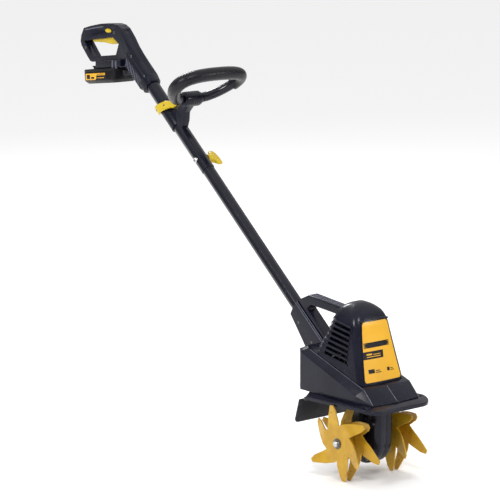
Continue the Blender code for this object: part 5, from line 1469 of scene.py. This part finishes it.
@dataclass
class RearHandle:
    """Closed rear grip with its trigger, cross button, ribbed sleeve and screws.

    Places on the sleeve are (up the shaft, out of its axis), places on the grip are (y, z).
    """

    half_width: float = 12.5
    sleeve_half: float = 17.0
    inset: float = 0.1
    rib_panel: tuple[Pair, ...] = ((659.0, -20.0), (732.0, -20.0), (742.0, -2.5), (656.0, -2.5))
    rib_slope: float = 62.0
    rib_pitch: float = 6.0
    rib_radius: float = 1.2
    border_radius: float = 1.0
    # Strip along the grip's side, painted lighter as the highlight band on its rounded edge.
    strip: tuple[Pair, ...] = ((955.0, 847.0), (936.0, 850.0), (910.0, 855.0), (884.0, 859.0))
    strip_radius: float = 1.3
    surround_at: Pair = (866.0, 851.0)
    surround_reach: Pair = (13.6, 6.8)
    surround_steps: int = 36
    surround_radius: float = 0.8
    ridge: tuple[Pair, ...] = ((652.0, 3.0), (748.0, 3.0))
    ridge_radius: float = 1.3
    collar_grow: float = 1.7
    collar_span: Pair = (-23.5, 19.5)
    collar_bore: float = 15.4
    collar_rows: tuple[Pair, ...] = ((646.2, -1.6), (647.4, 0.0), (667.0, 0.0), (671.0, -2.4))
    collar_square: float = 0.72
    collar_sides: int = 48
    screw: Triple = (3.2, 0.9, 1.5)
    screw_sink: float = 0.3
    grip_screws: tuple[Pair, ...] = ((955.0, 806.0), (846.0, 848.0), (800.0, 800.0))
    sleeve_screws: tuple[Pair, ...] = ((668.0, 11.0), (730.0, 11.0))
    button_ridges: tuple[float, ...] = (-4.5, 0.0, 4.5)
    button_ridge_half: float = 2.4
    button_ridge_radius: float = 0.5

    def build(self) -> None:
        """Make the handle's halves and what they hold."""
        for side in ("left", "right"):
            refined(f"rear_handle_{side}", 1.8, angle=18.0, sharp=40.0)
        refined("trigger", 0.8, angle=24.0)
        refined("lock_off_button", 0.7, angle=24.0)
        dress("trigger_pin", "trigger_switch")
        self.trim()
        self.collar()
        self.screws()

    def trim(self) -> None:
        """Slanted ribs and their border on the sleeve, and raised lines on the sleeve and grip; the ribs and
        the grip's strip are lighter navy as painted highlights.
        """
        sleeve = self.sleeve_half - self.inset
        middle_y, middle_z = self.surround_at
        reach_y, reach_z = self.surround_reach
        ribs, borders, strips, ovals, ridges = [], [], [], [], []
        for way in BOTH:
            ribs += [[SHAFT.at(d, out, way * sleeve) for d, out in line]
                     for line in hatch(self.rib_panel, self.rib_slope, self.rib_pitch)]
            borders.append([SHAFT.at(d, out, way * sleeve) for d, out in self.rib_panel])
            strips.append([Vector((way * self.half_width, y, z)) for y, z in self.strip])
            ovals.append([Vector((way * (self.half_width + self.inset), middle_y + reach_y * math.cos(a),
                                  middle_z + reach_z * math.sin(a))) for a in turns(self.surround_steps)])
            ridges.append([SHAFT.at(d, out, way * sleeve) for d, out in self.ridge])
        for name, lines, radius, sides, closed, finish in (
                ("sleeve_ribs", ribs, self.rib_radius, 10, False, "navy_edge"),
                ("sleeve_rib_border", borders, self.border_radius, 8, True, ""),
                ("grip_strip", strips, self.strip_radius, 10, False, "navy_edge"),
                ("button_surround", ovals, self.surround_radius, 8, True, ""),
                ("sleeve_ridge", ridges, self.ridge_radius, 10, False, "")):
            beads(name, lines, radius, "root", "navy_plastic", sides, closed, finish)

    def collar(self) -> None:
        """Thicker collar with rounded edges round the sleeve's lower end."""
        wide = self.sleeve_half + self.collar_grow
        low, high = self.collar_span
        angles = turns(self.collar_sides)

        def squared(value: float) -> float:
            """Push a circle's coordinate out towards a square's."""
            return math.copysign(abs(value) ** self.collar_square, value)

        rows = [[SHAFT.at(d, (high + low) / 2 + ((high - low) / 2 + size) * squared(math.sin(a)),
                          (wide + size) * squared(math.cos(a))) for a in angles]
                for d, size in self.collar_rows]
        rows += [[SHAFT.at(d, self.collar_bore * math.sin(a), self.collar_bore * math.cos(a))
                  for a in angles] for d in (self.collar_rows[-1][0], self.collar_rows[0][0])]
        publish(plain_object("sleeve_collar", loft(rows, ring=True)), "root", "navy_plastic", sharp=30.0)

    def screws(self) -> None:
        """Screws in the right half and grip ridges on the button."""
        places = [(Vector((self.screw_sink - self.half_width, y, z)), -ACROSS) for y, z in self.grip_screws]
        places += [(SHAFT.at(d, out, self.screw_sink - self.sleeve_half), -ACROSS)
                   for d, out in self.sleeve_screws]
        copies("handle_screws", cap_screw(*self.screw), places, "root", "dark_steel")
        low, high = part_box("lock_off_button")
        middle = (low + high) / 2 / MM
        lines = [[Vector((x, middle.y + y, middle.z + end * self.button_ridge_half)) for end in BOTH]
                 for x in (low.x / MM + self.inset, high.x / MM - self.inset) for y in self.button_ridges]
        beads("button_ridges", lines, self.button_ridge_radius, "lock_button", "yellow_plastic", sides=6)


@dataclass
class Battery:
    """Battery pack on its dock, with a printed side label, ribs and a ribbed dock.

    Places on the pack are (forward, up) from the rear foot of its floor. Each of plates holds a
    name, corners, how far it stands off the pack, and its slot.
    """

    tilt: float = 6.7
    foot: Pair = (933.0, 725.0)
    half_width: float = 34.0
    plate_sink: float = 0.3
    plate_edge: float = 0.5
    plates: tuple[tuple[str, tuple[Pair, ...], float, str], ...] = (
        ("battery_label", ((9.0, 8.5), (46.0, 8.5), (50.0, 12.0), (50.0, 18.5), (84.0, 18.5),
                           (84.0, 23.5), (9.0, 23.5)), 0.35, "label_film"),
        ("battery_label_marks", ((14.0, 11.0), (26.0, 11.0), (26.0, 20.5), (14.0, 20.5)), 0.55,
         "battery_plastic"),
        ("battery_label_bar", ((30.0, 11.0), (42.0, 11.0), (42.0, 15.5), (30.0, 15.5)), 0.55,
         "battery_plastic"),
        ("battery_label_dash", ((54.0, 20.3), (80.0, 20.3), (80.0, 21.7), (54.0, 21.7)), 0.55,
         "battery_plastic"),
        ("battery_label_foot", ((54.0, 12.0), (80.0, 12.0), (80.0, 13.6), (54.0, 13.6)), 0.35,
         "label_film"))
    ribs_at: tuple[float, ...] = (89.0, 93.5, 98.0, 102.5)
    rib_span: Pair = (9.0, 25.0)
    rib_radius: float = 0.9
    dock_half: float = 24.9
    dock_ribs_at: tuple[float, ...] = (822.0, 834.0)
    dock_rib_span: Pair = (765.5, 787.0)
    dock_rib_radius: float = 2.6

    def build(self) -> None:
        """Make the pack, its trim and the dock."""
        refined("battery_case", 1.6, angle=20.0)
        refined("battery_lid", 1.2, angle=20.0)
        refined("battery_latch", 0.9)
        refined("battery_dock", 1.2, angle=20.0)
        dress("cell_pack")
        for name, corners, thick, slot in self.plates:
            pair = bmesh.new()
            for way in BOTH:
                absorb(pair, loft([[self.at(forward, up, way * x) for forward, up in corners]
                                   for x in (self.half_width - self.plate_sink, self.half_width + thick)]))
            piece = plain_object(name, pair)
            round_edges(piece, min(thick * 0.6, self.plate_edge), 2)
            publish(piece, "battery", slot)
        ribs = [[self.at(forward, up, way * self.half_width) for up in self.rib_span]
                for way in BOTH for forward in self.ribs_at]
        beads("battery_ribs", ribs, self.rib_radius, "battery", "battery_plastic")
        # Dock ribs in lighter navy: painted highlights on the dock's rounded corner.
        lines = [[Vector((way * self.dock_half, y, z)) for z in self.dock_rib_span]
                 for way in BOTH for y in self.dock_ribs_at]
        beads("dock_ribs", lines, self.dock_rib_radius, "root", "navy_plastic", sides=16, finish="navy_edge")

    def at(self, forward: float, up: float, across: float) -> Vector:
        """Point on the battery: forward from its rear foot, up from its floor, and sideways."""
        lean = math.radians(self.tilt)
        return Vector((across, self.foot[0] - forward * math.cos(lean) + up * math.sin(lean),
                       self.foot[1] + forward * math.sin(lean) + up * math.cos(lean)))


# ------------------------------------------------------------------ stage

@dataclass
class Studio:
    """Pale floor, soft lights and the camera; lengths here are in metres."""

    eye: Triple = (-3.2778, -3.5678, 1.3863)
    pan: float = 39.70
    tilt: float = 10.71
    lens: float = 175.3
    sensor: float = 36.0
    sight: float = 200.0
    floor_size: float = 120.0
    floor_tone: float = 0.97
    floor_roughness: float = 0.9
    lights: tuple[tuple[str, Triple, float, float], ...] = (
        ("key_light", (-1.6, -2.8, 3.6), 0.9, 50.0),
        ("side_strip", (-3.6, 0.2, 2.2), 0.8, 55.0),
        ("rear_strip", (0.9, 3.0, 2.6), 0.8, 45.0),
        ("front_strip", (2.2, -3.0, 1.6), 0.6, 26.0))
    aim: Triple = (0.0, 0.4, 0.4)
    sky_rows: Pair = (0.05, 0.70)
    sky_tones: Pair = (0.25, 1.03)

    def build(self) -> None:
        """Set up the floor, lights, sky and camera."""
        half = self.floor_size / 2
        mesh = bpy.data.meshes.new("floor")
        mesh.from_pydata([(-half, -half, 0.0), (half, -half, 0.0), (half, half, 0.0), (-half, half, 0.0)],
                         [], [(0, 1, 2, 3)])
        floor = placed("floor", mesh)
        paper = bpy.data.materials.new("floor_paper")
        paper.use_nodes = True
        shader = paper.node_tree.nodes["Principled BSDF"]
        shader.inputs["Base Color"].default_value = (*(self.floor_tone,) * 3, 1.0)
        shader.inputs["Roughness"].default_value = self.floor_roughness
        shader.inputs["Specular IOR Level"].default_value = 0.0
        floor.data.materials.append(paper)
        for name, place, size, power in self.lights:
            self.light(name, Vector(place), size, power)
        self.sky()
        bpy.context.scene.view_settings.view_transform = "Standard"
        self.camera()

    def light(self, name: str, place: Vector, size: float, power: float) -> None:
        """Square soft light aimed at the machine's middle.

        Args:
            name: The light's name.
            place: Where it stands.
            size: Its side.
            power: Its power in watts.
        """
        lamp = bpy.data.lights.new(name, "AREA")
        lamp.energy = power
        lamp.size = size
        holder = bpy.data.objects.new(name, lamp)
        holder.location = place
        holder.rotation_euler = (Vector(self.aim) - place).to_track_quat("-Z", "Y").to_euler()
        bpy.context.scene.collection.objects.link(holder)

    def sky(self) -> None:
        """White dome that dims towards the horizon, so that upright faces stay dark."""
        world = bpy.context.scene.world or bpy.data.worlds.new("studio")
        bpy.context.scene.world = world
        world.use_nodes = True
        tree = world.node_tree
        backdrop = tree.nodes["Background"]
        backdrop.inputs["Color"].default_value = (1.0, 1.0, 1.0, 1.0)
        way = tree.nodes.new("ShaderNodeTexCoord").outputs["Generated"]
        split = tree.nodes.new("ShaderNodeSeparateXYZ")
        tree.links.new(way, split.inputs["Vector"])
        tone = Finish.spread(tree, split.outputs["Z"], self.sky_rows, self.sky_tones)
        tree.links.new(tone, backdrop.inputs["Strength"])

    def camera(self) -> None:
        """Camera with a long lens, seen from the machine's right and front."""
        pan, tilt = math.radians(self.pan), math.radians(self.tilt)
        way = Vector((math.sin(pan) * math.cos(tilt), math.cos(pan) * math.cos(tilt), -math.sin(tilt)))
        lens = bpy.data.cameras.new("camera")
        lens.lens = self.lens
        lens.sensor_width = self.sensor
        lens.clip_end = self.sight
        camera = bpy.data.objects.new("camera", lens)
        camera.location = self.eye
        camera.rotation_euler = way.to_track_quat("-Z", "Y").to_euler()
        bpy.context.scene.collection.objects.link(camera)
        bpy.context.scene.camera = camera


def main() -> None:
    """Build every sub-assembly round the frame, then the stage."""
    logging.basicConfig(level=logging.INFO, format="%(name)s: %(message)s")
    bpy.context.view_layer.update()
    for assembly in (Tines(), GearCase(), Motor(), MotorCover(), Head(), Shaft(), LoopHandle(),
                     RearHandle(), Battery(), Studio()):
        assembly.build()
        LOG.info("%s done", type(assembly).__name__)


if __name__ == "__main__":
    main()
